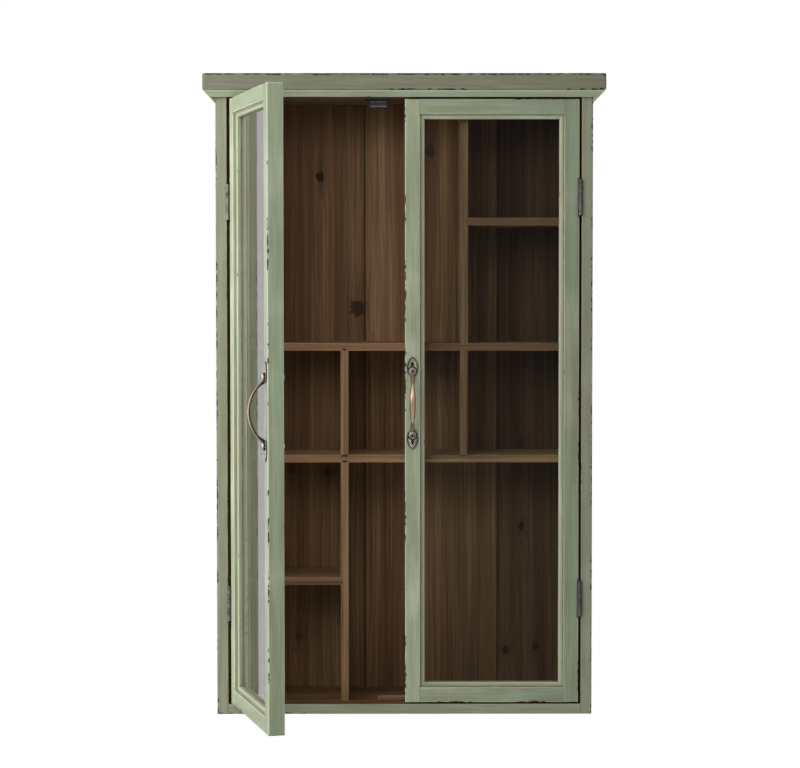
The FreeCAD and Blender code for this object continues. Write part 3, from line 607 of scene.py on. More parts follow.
@dataclass(frozen=True)
class ClearGlass(PartFinish):
    """Thin window glass that lets light and shadows through."""

    tint: Colour = (0.94, 0.955, 0.94)
    shade: Colour = (0.77, 0.79, 0.77)
    index: float = 1.5

    def mix(self, s: Shader) -> None:
        """Writes the glass, with a clear path for shadow rays and for light scattered behind it.

        Args:
            s: The material's node tree.
        """
        glass = s.principled(Base_Color=self.tint, Roughness=0.0, IOR=self.index, Transmission_Weight=1.0)
        clear = s.node("BsdfTransparent", {"Color": self.shade}).outputs[0]
        rays = s.node("LightPath")
        for ray in ("Is Diffuse Ray", "Is Shadow Ray"):
            glass = s.node("MixShader", {0: rays.outputs[ray], 1: glass, 2: clear}).outputs[0]
        s.surface(glass)


@dataclass(frozen=True)
class AntiqueBrass(PartFinish):
    """Cast brass: dark patina in its hollows, rubbed high spots, a grey-green bloom on the rosettes."""

    bright: Colour = (0.60, 0.40, 0.27)
    brown: Colour = (0.23, 0.145, 0.085)
    bloom: Colour = (0.27, 0.265, 0.20)
    rubbed_bloom: Colour = (0.56, 0.53, 0.43)
    patina: Colour = (0.016, 0.013, 0.009)
    mottle: Cloud = Cloud((420.0, 420.0, 420.0), 4.0, 0.65)
    mottle_relief: Ramp = Ramp(0.25, 0.75, -0.16, 0.16)
    hollow_edge: Ramp = Ramp(0.15, 0.45)
    rubbed_edge: Ramp = Ramp(0.5, 0.95)
    polish: Ramp = Ramp(0.1, 0.9, 0.6, 0.34)
    metal: float = 0.5
    relief: Span = (0.0002, 0.35)

    def mix(self, s: Shader) -> None:
        """Writes the patina by the casting's relief.

        Args:
            s: The material's node tree.
        """
        mottle = s.noise(s.position(), self.mottle)
        relief = s.maths("ADD", s.attribute("relief"), s.remap(mottle, self.mottle_relief))
        bloom = s.attribute("bloom")
        middle = s.blend(bloom, self.brown, self.bloom)
        high = s.blend(bloom, self.bright, self.rubbed_bloom)
        colour = s.blend(s.remap(relief, self.hollow_edge), self.patina, middle)
        colour = s.blend(s.remap(relief, self.rubbed_edge), colour, high)
        rough = s.remap(relief, self.polish)
        s.surface(s.principled(Base_Color=colour, Metallic=self.metal, Roughness=rough,
                               Normal=s.bump(mottle, *self.relief)))


@dataclass(frozen=True)
class DullMetal(PartFinish):
    """Plain metal with darker stains and fine handling marks."""

    clean: Colour = (0.36, 0.35, 0.33)
    stained: Colour = (0.12, 0.105, 0.09)
    smooth: float = 0.34
    stains: Cloud = Cloud((150.0, 150.0, 150.0), 4.0, 0.65)
    stain_edge: Ramp = Ramp(0.42, 0.66)
    stain_range: Span = (0.35, 0.7)
    stain_rough: float = 0.26
    marks: Cloud = Cloud((1400.0, 1400.0, 500.0), 2.0, 0.5)
    mark_shade: Ramp = Ramp(0.3, 0.7, 0.85, 1.12)
    metal: float = 0.92
    relief: Span = (0.00015, 0.3)

    def mix(self, s: Shader) -> None:
        """Writes the stains and marks.

        Args:
            s: The material's node tree.
        """
        place = s.position()
        stain = s.noise(place, self.stains)
        marks = s.noise(place, self.marks)
        colour = s.blend(s.remap(stain, self.stain_edge), self.clean, self.stained)
        colour = s.dim(colour, s.remap(marks, self.mark_shade))
        rough = s.remap(stain, Ramp(*self.stain_range, self.smooth, self.smooth + self.stain_rough))
        s.surface(s.principled(Base_Color=colour, Metallic=self.metal, Roughness=rough,
                               Normal=s.bump(marks, *self.relief)))


@dataclass(frozen=True)
class DullSolid(PartFinish):
    """Moulded plastic or pressed ferrite: one dark body with dust and a fine grain."""

    body: Colour = (0.02, 0.016, 0.015)
    dusty: Colour = (0.05, 0.043, 0.038)
    smooth: float = 0.42
    dust: Cloud = Cloud((210.0, 210.0, 210.0), 4.0, 0.6)
    dust_edge: Ramp = Ramp(0.42, 0.72)
    dust_range: Span = (0.35, 0.7)
    dust_rough: float = 0.25
    grit: Cloud = Cloud((2600.0, 2600.0, 2600.0), 2.0, 0.5)
    relief: Span = (0.0001, 0.4)

    def mix(self, s: Shader) -> None:
        """Writes the dust and grain.

        Args:
            s: The material's node tree.
        """
        place = s.position()
        dust = s.noise(place, self.dust)
        colour = s.blend(s.remap(dust, self.dust_edge), self.body, self.dusty)
        rough = s.remap(dust, Ramp(*self.dust_range, self.smooth, self.smooth + self.dust_rough))
        normal = s.bump(s.noise(place, self.grit), *self.relief)
        s.surface(s.principled(Base_Color=colour, Roughness=rough, Normal=normal))


@dataclass(frozen=True)
class PaleFloor(Finish):
    """A plain pale studio floor, lifted towards white where the camera sees it."""

    body: Colour = (0.86, 0.86, 0.85)
    mottle: Cloud = Cloud((1.5, 1.5, 1.5))
    mottle_shade: Ramp = Ramp(0.3, 0.7, 0.98, 1.02)
    rough: float = 0.85
    gloss: float = 0.2
    lift: float = 0.4

    def mix(self, s: Shader) -> None:
        """Writes a matt, faintly uneven white.

        Args:
            s: The material's node tree.
        """
        colour = s.dim(self.body, s.remap(s.noise(s.position(), self.mottle), self.mottle_shade))
        seen = s.times(s.node("LightPath").outputs["Is Camera Ray"], self.lift)
        s.surface(s.principled(Base_Color=colour, Roughness=self.rough, Specular_IOR_Level=self.gloss,
                               Emission_Color=WHITE, Emission_Strength=seen))


KNOTS = (
    Knot(-0.131, -0.085, 0.0066, 1.0), Knot(-0.072, -0.289, 0.0108, 0.78, (24.0, -38.0)),
    Knot(0.041, -0.043, 0.0085, 0.55), Knot(0.184, -0.631, 0.0052, 1.0, (80.0,)),
    Knot(0.159, -0.827, 0.0055, 0.85), Knot(0.206, -0.821, 0.005, 0.8),
    Knot(0.184, -0.50, 0.0078, 0.4), Knot(-0.119, -0.547, 0.006, 0.45), Knot(-0.176, -0.54, 0.0075, 0.45),
    Knot(-0.165, -0.805, 0.0065, 0.5), Knot(0.061, -0.389, 0.010, 0.3),
)
PAINT = SagePaint("sage_paint", Slot.PAINT)
FIR = StainedFir("stained_fir", Slot.STAIN)
SHELF_FIR = StainedFir("shelf_fir", Slot.STAIN, early=(0.215, 0.132, 0.068), russet=(0.165, 0.088, 0.046),
                       late=(0.095, 0.05, 0.025))
KNOTTY_FIR = StainedFir("knotty_fir", Slot.STAIN, knots=KNOTS)
RAIL_FIR = StainedFir("rail_fir", Slot.STAIN, board_axes=True)
GLASS = ClearGlass("window_glass", Slot.GLASS)
BRASS = AntiqueBrass("cast_brass", Slot.BRASS)
HINGE_STEEL = DullMetal("dull_steel", Slot.HINGE, clean=(0.13, 0.125, 0.118), stained=(0.07, 0.062, 0.055),
                        smooth=0.52)
# Painted light: a paler copy of the hinge steel for the left hinge, partly for paint over it and partly for
# the light that falls on it.
LIMED_AND_LIT_STEEL = DullMetal("limed_and_lit_steel", Slot.HINGE, clean=(0.23, 0.21, 0.16), stained=(0.16, 0.138, 0.105),
                        smooth=0.6)
POLE_STEEL = DullMetal("pole_steel", Slot.ZINC, clean=(0.28, 0.26, 0.28), stained=(0.16, 0.145, 0.16),
                       smooth=0.5)
ZINC = DullMetal("bright_zinc", Slot.ZINC, clean=(0.55, 0.55, 0.56), stained=(0.30, 0.30, 0.31))
PLASTIC = DullSolid("moulded_plastic", Slot.PLASTIC)
FERRITE = DullSolid("pressed_ferrite", Slot.FERRITE, body=(0.03, 0.03, 0.032), dusty=(0.05, 0.05, 0.052),
                    smooth=0.55)
FLOOR = PaleFloor("studio_floor")


@dataclass
class Shape:
    """Points, faces and the values that the finishes read, while a mesh is under construction."""

    points: np.ndarray
    faces: list[tuple[int, ...]]
    finishes: list[int]
    values: dict[str, np.ndarray]

    @staticmethod
    def join(shapes: Iterable["Shape"]) -> "Shape":
        """Puts several shapes with the same values into one.

        Args:
            shapes: The shapes.

        Returns:
            One shape.
        """
        shapes = list(shapes)
        faces: list[tuple[int, ...]] = []
        finishes: list[int] = []
        first = 0
        for shape in shapes:
            faces.extend(tuple(i + first for i in face) for face in shape.faces)
            finishes.extend(shape.finishes)
            first += len(shape.points)
        values = {key: np.concatenate([s.values[key] for s in shapes]) for key in shapes[0].values}
        return Shape(np.concatenate([s.points for s in shapes]), faces, finishes, values)

    @staticmethod
    def tube(rings: np.ndarray, values: dict[str, np.ndarray], strips: list[int] | None = None) -> "Shape":
        """Skins a run of equal rings and closes both ends.

        Args:
            rings: Points as an array of rings by points by three.
            values: Values as arrays of rings by points, with a last axis for vectors.
            strips: The finish of each strip round the ring, or None for the first finish all round.

        Returns:
            A closed shape.
        """
        count, size = rings.shape[:2]
        strips = strips or [0] * size
        faces: list[tuple[int, ...]] = []
        finishes: list[int] = []
        for i in range(count - 1):
            for j in range(size):
                k = (j + 1) % size
                faces.append((i * size + j, i * size + k, (i + 1) * size + k, (i + 1) * size + j))
                finishes.append(strips[j])
        faces.append(tuple(reversed(range(size))))
        faces.append(tuple(range((count - 1) * size, count * size)))
        finishes.extend((0, 0))
        flat = {key: v.reshape(count * size, -1) for key, v in values.items()}
        return Shape(rings.reshape(-1, 3), faces, finishes, flat)

    def to_object(self, name: str, place: Matrix, finishes: list[PartFinish],
                  sharp: float) -> bpy.types.Object:
        """Writes the mesh.

        Args:
            name: The object's name.
            place: The matrix from the shape's own frame to the row frame.
            finishes: The finishes that the faces name by number.
            sharp: The angle in degrees above which an edge is shaded sharp.

        Returns:
            An object in the scene.
        """
        mesh = bpy.data.meshes.new(name)
        mesh.from_pydata(self.points.tolist(), [], self.faces)
        mesh.transform(place)
        for finish in finishes:
            mesh.materials.append(finish.material())
        mesh.polygons.foreach_set("material_index", self.finishes)
        mesh.polygons.foreach_set("use_smooth", [True] * len(self.faces))
        for key, data in self.values.items():
            kind, item = ("FLOAT_VECTOR", "vector") if data.shape[-1] == 3 else ("FLOAT", "value")
            layer = mesh.attributes.new(key, kind, "POINT")
            layer.data.foreach_set(item, data.astype(np.float32).ravel())
        work = bmesh.new()
        work.from_mesh(mesh)
        bmesh.ops.recalc_face_normals(work, faces=work.faces)
        work.to_mesh(mesh)
        work.free()
        mesh.set_sharp_from_angle(angle=math.radians(sharp))
        made = bpy.data.objects.new(name, mesh)
        bpy.context.scene.collection.objects.link(made)
        return made


@dataclass(frozen=True)
class Corner:
    """One corner of a timber's section and the side that follows it.

    Attributes:
        u: Place on the section's first axis.
        v: Place on the section's second axis.
        ease: Radius of the rounding.
        wear: How worn the edge is.
        dirt: How much dark glazing and painted shade lie along the edge.
        finish: The number of the finish on the side that follows.
        rows: Further rows of points on that side, as distances from this corner.
    """

    u: float
    v: float
    ease: float = 0.0008
    wear: float = Wear.LIGHT
    dirt: float = 0.0
    finish: int = 0
    rows: tuple[float, ...] = ()

    @staticmethod
    def joint(u: float, v: float, dirt: float = 1.0) -> "Corner":
        """A square corner that lies in a joint, where dark glazing and painted shade lie."""
        return Corner(u, v, 0.0, Wear.NONE, dirt)


Row = tuple[float, ...]


@dataclass
class Section:
    """A timber's section: corners in anticlockwise order, turned into a loop of points.

    Attributes:
        corners: The corners.
        edge_rows: How far from each corner rows of points lie on its sides.
        dirt_reach: How far from a dirty corner the dark glazing and painted shade reach.
        fine_ease: The rounding from which an arc takes more steps.
        arc_steps: Steps in a fine rounding and in a wider one.
        least_row: How far a row stays from a rounding's end.
    """

    corners: list[Corner]
    edge_rows: tuple[float, ...] = (0.0012, 0.0028, 0.0065)
    dirt_reach: float = 0.0022
    fine_ease: float = 0.0015
    arc_steps: tuple[int, int] = (3, 6)
    least_row: float = 0.0001

    @staticmethod
    def box(u: Span, v: Span, wear: tuple[float, ...], ease: float = 0.0008,
            finishes: tuple[int, ...] = (0, 0, 0, 0),
            rows: tuple[tuple[float, ...], ...] = ((), (), (), ())) -> "Section":
        """A rectangle; wear, finishes and rows go round from the low corner.

        Args:
            u: Its span on the section's first axis.
            v: Its span on the second axis.
            wear: How worn each edge is.
            ease: Radius of the roundings.
            finishes: The number of each side's finish.
            rows: Each side's further rows.

        Returns:
            The section.
        """
        places = ((u[0], v[0]), (u[1], v[0]), (u[1], v[1]), (u[0], v[1]))
        return Section([
            Corner(*place, ease, wear[i], 0.0, finishes[i], rows[i]) for i, place in enumerate(places)])

    def corner(self, index: int) -> Corner:
        """A corner by its number, counted on round the section."""
        return self.corners[index % len(self.corners)]

    def turn(self, index: int) -> tuple[Vector, Vector, Vector, float]:
        """How the outline turns at a corner.

        Args:
            index: The corner's number.

        Returns:
            Its place, the directions into and out of it, and the angle turned there.
        """
        before, here, after = (
            Vector((self.corner(i).u, self.corner(i).v)) for i in (index - 1, index, index + 1))
        way_in = (here - before).normalized()
        way_out = (after - here).normalized()
        angle = math.atan2(way_in.x * way_out.y - way_in.y * way_out.x, way_in.dot(way_out))
        return here, way_in, way_out, angle

    def keen(self, index: int) -> bool:
        """Whether a corner is an outer edge that wears, and not one that takes dark glazing and painted
        shade.
        """
        return self.turn(index)[3] > 0 and self.corner(index).dirt == 0.0

    def cut_back(self, index: int) -> float:
        """How far from a corner its rounding ends."""
        return self.corner(index).ease * math.tan(max(0.0, self.turn(index)[3]) / 2)

    def settled(self, index: int, distance: float) -> float:
        """How much of a corner's dark glazing and painted shade lies at a distance from it.

        Args:
            index: The corner's number.
            distance: The distance.

        Returns:
            A level from nought to one.
        """
        if self.keen(index):
            return 0.0
        return self.corner(index).dirt * max(0.0, 1 - distance / self.dirt_reach)

    def corner_rows(self, index: int) -> list[Row]:
        """The loop at one corner, round its arc if it has one.

        Args:
            index: The corner's number.

        Returns:
            Rows of the loop.
        """
        corner = self.corner(index)
        here, way_in, way_out, angle = self.turn(index)
        arris = 0.0 if self.keen(index) else FAR
        # Painted shade: concave corners start the darkening of crevices and joints.
        grime_and_shade = self.settled(index, 0.0)
        if angle <= 0 or corner.ease <= 0:
            out = Vector((way_in.y + way_out.y, -way_in.x - way_out.x)).normalized()
            return [(*here, *out, arris, corner.wear, grime_and_shade, corner.finish)]
        normal = Vector((way_in.y, -way_in.x))
        centre = here - way_in * self.cut_back(index) - normal * corner.ease
        steps = self.arc_steps[corner.ease >= self.fine_ease]
        rows = []
        for k in range(steps + 1):
            out = Matrix.Rotation(angle * k / steps, 2) @ normal
            finish = self.corner(index - 1).finish if 2 * k < steps else corner.finish
            apart = corner.ease * angle * abs(k / steps - 0.5)
            rows.append((*(centre + out * corner.ease), *out, arris + apart, corner.wear, grime_and_shade, finish))
        return rows

    def side_rows(self, index: int) -> list[Row]:
        """The loop along the side that follows a corner.

        Args:
            index: The corner's number.

        Returns:
            Rows of the loop.
        """
        corner, following = self.corner(index), self.corner(index + 1)
        here, _, way_out, _ = self.turn(index)
        length = (self.turn(index + 1)[0] - here).length
        marks = {d for d in self.edge_rows if d < length / 2}
        marks |= {length - d for d in marks} | set(corner.rows)
        first = self.cut_back(index) + self.least_row
        last = length - self.cut_back(index + 1) - self.least_row
        normal = Vector((way_out.y, -way_out.x))
        rows = []
        for d in sorted(mark for mark in marks if first < mark < last):
            near = d if self.keen(index) else FAR
            far = length - d if self.keen(index + 1) else FAR
            wear = corner.wear if near <= far else following.wear
            grime_and_shade = max(self.settled(index, d), self.settled(index + 1, length - d))
            rows.append((*(here + way_out * d), *normal, min(near, far), wear, grime_and_shade, corner.finish))
        return rows

    def loop(self) -> np.ndarray:
        """The whole loop of points.

        Returns:
            Rows of u, v, normal u, normal v, arris distance, wear, dark glazing and painted shade in
            crevices, and finish.
        """
        rows: list[Row] = []
        for index in range(len(self.corners)):
            rows += self.corner_rows(index) + self.side_rows(index)
        return np.array(rows)


@dataclass(frozen=True)
class HingeCut:
    """What one hinge takes out of a stile or side: the barrel's notch and the leaf's mortise.

    Attributes:
        axis: The hinge axis in the section.
        radius: The notch's radius.
        leaf: The leaf's span along the timber.
        margin: How far the notch runs on past the leaf.
        face: The edge face that the leaf is let into.
        depth: How far the leaf goes in, signed.
        reach: How far the leaf reaches from the axis.
        hair: Half the gap between the rings or rows on the two sides of a wall.
    """

    axis: Span
    radius: float
    leaf: Span
    margin: float
    face: float
    depth: float
    reach: float
    hair: float = 0.00005

    def levels(self) -> list[float]:
        """Where along the timber rings are needed.

        Returns:
            Places in rising order.
        """
        low, high = self.leaf
        marks = (low - self.margin, low, high, high + self.margin)
        return sorted(m + way * self.hair for m in marks for way in (-1, 1))

    def apply(self, along: np.ndarray, u: np.ndarray, v: np.ndarray) -> np.ndarray:
        """Moves the points that lie in the cut to its walls.

        Args:
            along: Places along the timber.
            u: Places on the section's first axis, changed in place.
            v: Places on the section's second axis, changed in place.

        Returns:
            Which points were moved.
        """
        low, high = self.leaf
        in_leaf = (along > low) & (along < high) & (np.abs(u - self.face) < self.hair)
        in_leaf &= (v > self.axis[1]) & (v < self.axis[1] + self.reach)
        u[in_leaf] += self.depth
        du, dv = u - self.axis[0], v - self.axis[1]
        distance = np.hypot(du, dv)
        in_notch = (along > low - self.margin) & (along < high + self.margin) & (distance < self.radius)
        push = self.radius / distance[in_notch]
        u[in_notch] = self.axis[0] + du[in_notch] * push
        v[in_notch] = self.axis[1] + dv[in_notch] * push
        return in_notch | in_leaf


@dataclass
class Timber:
    """A length of wood with one section all along, eased and chipped edges and square or mitred ends.

    Attributes:
        section: The section's corners.
        run: Which axes the length and the section lie on.
        start: Where it starts; with a slope, the place where u is nought.
        end: Where it ends, in the same way.
        slopes: How far the start and the end move along for each step in u.
        end_wear: How worn the ends are; None leaves them plain, for a joint.
        ease: Radius of the rounding at worn ends.
        cuts: Hinge cuts, on a timber with worn ends.
        covered: Spans along the timber where another piece butts on an edge, each after that edge's u.
        tone_and_light: The board's level of colour, partly its own and partly painted light and shade, or
            its levels at the start and the end.
        age: How far its paint has gone olive.
        seed: Sets the board's own grain and chips.
        step: Longest distance between rings.
        butt_reach: How far from a covered edge its wear is left out.
        chip_depth: How deep the deepest chip goes.
        cut_grime_and_shade: How dark the walls of hinge cuts are: partly soiling and partly the barrel's
            painted shadow.
        end_rings: How far in from the rounding rings lie on an end's face.
        least_ring: The least share of the section that such a ring keeps.
        tip_rings: How far on from the rounding rings lie along the timber.
        tip_clear: Where the even rings start.
        arc_shares: Inset at the middle of an end's rounding, and its half length, by its radius.
        wear_reach: How far from an edge wear is worked out.
        dent_reach: How far from an edge chips are sunk.
        patch_turns: Worn patches a metre.
        patch_fractal: How those patches break up.
        patch_gain: How far wear widens them.
        patch_floor: The level that they have to reach.
        patch_soft: How softly they end.
        bite_turns: Bites a metre in a patch.
        seed_lift: How far a seed moves the patches on each axis.
        seed_run: How far a seed moves the grain along.
        pith: Where the tree's middle lies from the section's, on each axis.
        pith_wander: How far a seed moves that.
        pith_turns: How fast it moves it.
    """

    section: Section
    run: Run
    start: float
    end: float
    slopes: Span = (0.0, 0.0)
    end_wear: float | None = None
    ease: float = 0.0008
    cuts: tuple[HingeCut, ...] = ()
    covered: tuple[tuple[float, Span], ...] = ()
    tone_and_light: Tone = 1.0
    age: float = 0.0
    seed: float = 0.0
    step: float = 0.004
    butt_reach: float = 0.007
    chip_depth: float = 0.0008
    cut_grime_and_shade: float = 0.75
    end_rings: Span = (0.006, 0.0025)
    least_ring: float = 0.15
    tip_rings: Span = (0.0008, 0.0022)
    tip_clear: float = 0.0065
    arc_shares: Span = (0.3, 0.6)
    wear_reach: float = 0.012
    dent_reach: float = 0.002
    patch_turns: float = 13.0
    patch_fractal: tuple[float, float, int] = (0.62, 2.6, 5)
    patch_gain: float = 1.05
    patch_floor: float = 0.62
    patch_soft: float = 0.5
    bite_turns: float = 160.0
    seed_lift: Triple = (7.3, 3.1, 5.7)
    seed_run: float = 1.7
    pith: Span = (0.14, 0.03)
    pith_wander: Span = (0.05, 0.03)
    pith_turns: Span = (2.1, 1.3)

    def moved_in(self, places: np.ndarray, normals: np.ndarray, inset: np.ndarray) -> np.ndarray:
        """Brings the section in: along its normals on a rounding, towards its middle on an end's face.

        Args:
            places: The loop's places on one axis of the section.
            normals: The loop's normals on that axis.
            inset: How far each ring lies in.

        Returns:
            The places of every ring.
        """
        middle = (places.min() + places.max()) / 2
        half = (places.max() - places.min()) / 2
        drawn = middle + (places - middle) * np.maximum(self.least_ring, 1 - inset / half)
        return np.where(inset > self.ease, drawn, places - inset * normals)

    def stations(self, length: float) -> np.ndarray:
        """Where the rings lie.

        Args:
            length: The timber's length.

        Returns:
            Rows of distance along, inset and distance from a worn end.
        """
        count = max(2, math.ceil(length / self.step) + 1)
        if self.end_wear is None:
            return np.array([(s, 0.0, FAR) for s in np.linspace(0.0, length, count)])
        cut, half_arc = (share * self.ease for share in self.arc_shares)
        tip = [(0.0, self.ease + ring, ring) for ring in self.end_rings]
        tip += [(0.0, self.ease, half_arc), (cut, cut, 0.0), (self.ease, 0.0, half_arc)]
        tip += [(self.ease + ring, 0.0, half_arc + ring) for ring in self.tip_rings]
        even = np.linspace(self.tip_clear, length - self.tip_clear, count)
        inner = [(s, 0.0, min(s, length - s)) for s in even]
        inner += [(level - self.start, 0.0, FAR) for cut in self.cuts for level in cut.levels()]
        tail = [(length - s, inset, edge) for s, inset, edge in reversed(tip)]
        return np.array(tip + sorted(inner) + tail)

    def worn(self, spots: np.ndarray, arris: np.ndarray, wear: np.ndarray) -> tuple[np.ndarray, np.ndarray]:
        """Where the edges have lost paint.

        Args:
            spots: Points as an array with a last axis of three.
            arris: Distance from the nearest edge at each point.
            wear: How worn that edge is.

        Returns:
            The wear at each point, and how deep it is dented, both from nought to one.
        """
        gate = np.zeros(arris.shape)
        dent = np.zeros(arris.shape)
        lift = Vector([self.seed * move for move in self.seed_lift])
        for index in zip(*np.nonzero((arris < self.wear_reach) & (wear > 0))):
            spot = Vector(spots[index])
            level = noise.fractal(spot * self.patch_turns + lift, *self.patch_fractal)
            level = (level + self.patch_gain * wear[index] - self.patch_floor) / self.patch_soft
            gate[index] = smooth(min(1.0, max(0.0, level))) * wear[index]
            if arris[index] < self.dent_reach and level > 0:
                bite = 0.5 + 0.5 * noise.noise(spot * self.bite_turns + lift)
                dent[index] = gate[index] * (1 - arris[index] / self.dent_reach) * bite
        return gate, dent

    def grain(self, along: np.ndarray, u: np.ndarray, v: np.ndarray) -> np.ndarray:
        """The points' places in the tree that the timber was sawn from.

        Args:
            along: Places along the timber.
            u: Places on the section's first axis.
            v: Places on the section's second axis.

        Returns:
            Places along the trunk and off its middle, as an array with a last axis of three.
        """
        off_u, off_v = (
            place + wander * math.sin(self.seed * turns)
            for place, wander, turns in zip(self.pith, self.pith_wander, self.pith_turns))
        trunk = along + self.seed * self.seed_run
        return np.stack([trunk, u - u.mean() + off_u, v - v.mean() + off_v], axis=-1)

    def shape(self) -> Shape:
        """Builds the timber in its own frame.

        Returns:
            The timber's shape.
        """
        loop = self.section.loop()
        loop_u, loop_v, normal_u, normal_v, loop_arris, loop_wear, loop_crevice_and_shade, strips = loop.T
        middle = float(loop_u.mean())
        first = self.start + self.slopes[0] * middle
        length = self.end + self.slopes[1] * middle - first
        s, inset, tip = (column[:, None] for column in self.stations(length).T)
        u = self.moved_in(loop_u, normal_u, inset)
        v = self.moved_in(loop_v, normal_v, inset)
        share = s / length
        along = (1 - share) * (self.start + self.slopes[0] * u) + share * (self.end + self.slopes[1] * u)
        arris = np.minimum(loop_arris, tip)
        wear = np.where(tip < loop_arris, self.end_wear or 0.0, loop_wear)
        crevice_dirt_and_shade = np.broadcast_to(loop_crevice_and_shade, u.shape).copy()
        for edge, (low, high) in self.covered:
            arris[(np.abs(u - edge) < self.butt_reach) & (along > low) & (along < high)] = FAR
        gate, dent = self.worn(np.stack([along, u, v], axis=-1), arris, wear)
        u = u - dent * self.chip_depth * normal_u
        v = v - dent * self.chip_depth * normal_v
        # Painted shadow: the walls of hinge cuts are darkened, partly as soiling and partly as the barrel's
        # shadow.
        for cut in self.cuts:
            moved = cut.apply(along, u, v)
            arris[moved] = FAR
            crevice_dirt_and_shade[moved] = self.cut_grime_and_shade
        spots = np.zeros((*u.shape, 3))
        for axis, places in zip(self.run.value, (along, u, v)):
            spots[..., axis] = places
        # Painted light and shade: each board's level of colour, which can run from its start to its end.
        first_tone_and_light, last_tone_and_light = np.broadcast_to(self.tone_and_light, 2)
        tone_and_light = np.broadcast_to(first_tone_and_light + (last_tone_and_light - first_tone_and_light) * share, u.shape)
        values = {"arris": arris, "wear": gate, "crevice_dirt_and_shade": crevice_dirt_and_shade, "tone_and_light": tone_and_light,
                  "age": np.full(u.shape, self.age), "grain": self.grain(along, u, v)}
        return Shape.tube(spots, values, [int(strip) for strip in strips])


class Joiner:
    """Makes visible pieces, hangs them on bodies and keeps count."""

    island_gap = 0.02

    def __init__(self, nodes: dict[str, bpy.types.Object]) -> None:
        """Takes the frame's nodes by name."""
        self.nodes = nodes
        self.made = 0

    def piece(self, node: str, shapes: Iterable[Shape], finishes: list[PartFinish], body: Body,
              place: Matrix | None = None, sharp: float = SHARP) -> None:
        """Makes one piece in place of a node.

        Args:
            node: The node that the piece stands for.
            shapes: The piece's shapes.
            finishes: Its finishes, the main one first.
            body: The body that it rides on.
            place: The matrix from the shapes' frame to the row frame.
            sharp: The angle in degrees above which an edge is shaded sharp.
        """
        made = Shape.join(shapes).to_object(f"{node}_dressed", place or Matrix.Identity(4), finishes, sharp)
        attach(made, body.value)
        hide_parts(node)
        self.made += 1
        log.info("%s: %d points", made.name, len(made.data.vertices))

    def paint_node(self, node: str, finish: PartFinish) -> None:
        """Gives a node that keeps its shape a finish.

        Args:
            node: The node.
            finish: The finish.
        """
        mesh = self.nodes[node].data
        material = finish.material()
        if not mesh.materials:
            mesh.materials.append(material)
        for index in range(len(mesh.materials)):
            mesh.materials[index] = material
        log.info("%s: %s", node, finish.name)

    def islands(self, node: str) -> list[Span]:
        """Finds the separate spans in height that a node's solids take up.

        Args:
            node: The node.

        Returns:
            The spans from below.
        """
        levels = np.sort(np.array([v.co.z for v in self.nodes[node].data.vertices]))
        breaks = np.nonzero(np.diff(levels) > self.island_gap)[0]
        starts = [0, *(breaks + 1)]
        ends = [*breaks, len(levels) - 1]
        return [(float(levels[a]), float(levels[b])) for a, b in zip(starts, ends)]


@dataclass(frozen=True)
class Hinges:
    """The sizes that both halves of a butt hinge share."""

    leaf_thickness: float = 0.0015
    leaf_reach: float = 0.017
    frame_notch: float = 0.00335
    door_notch: float = 0.00425
    margin: float = 0.003

    def cuts(self, leaves: list[Span], axis: Span, face: float, into: int,
             radius: float) -> tuple[HingeCut, ...]:
        """The cuts for a door's hinges in one timber.

        Args:
            leaves: The leaves' spans in height.
            axis: The hinge axis in the timber's section.
            face: The edge face.
            into: Which way the wood lies from that face.
            radius: The notch's radius.

        Returns:
            One cut for each hinge.
        """
        return tuple(
            HingeCut(axis, radius, leaf, self.margin, face, into * self.leaf_thickness, self.leaf_reach)
            for leaf in leaves)


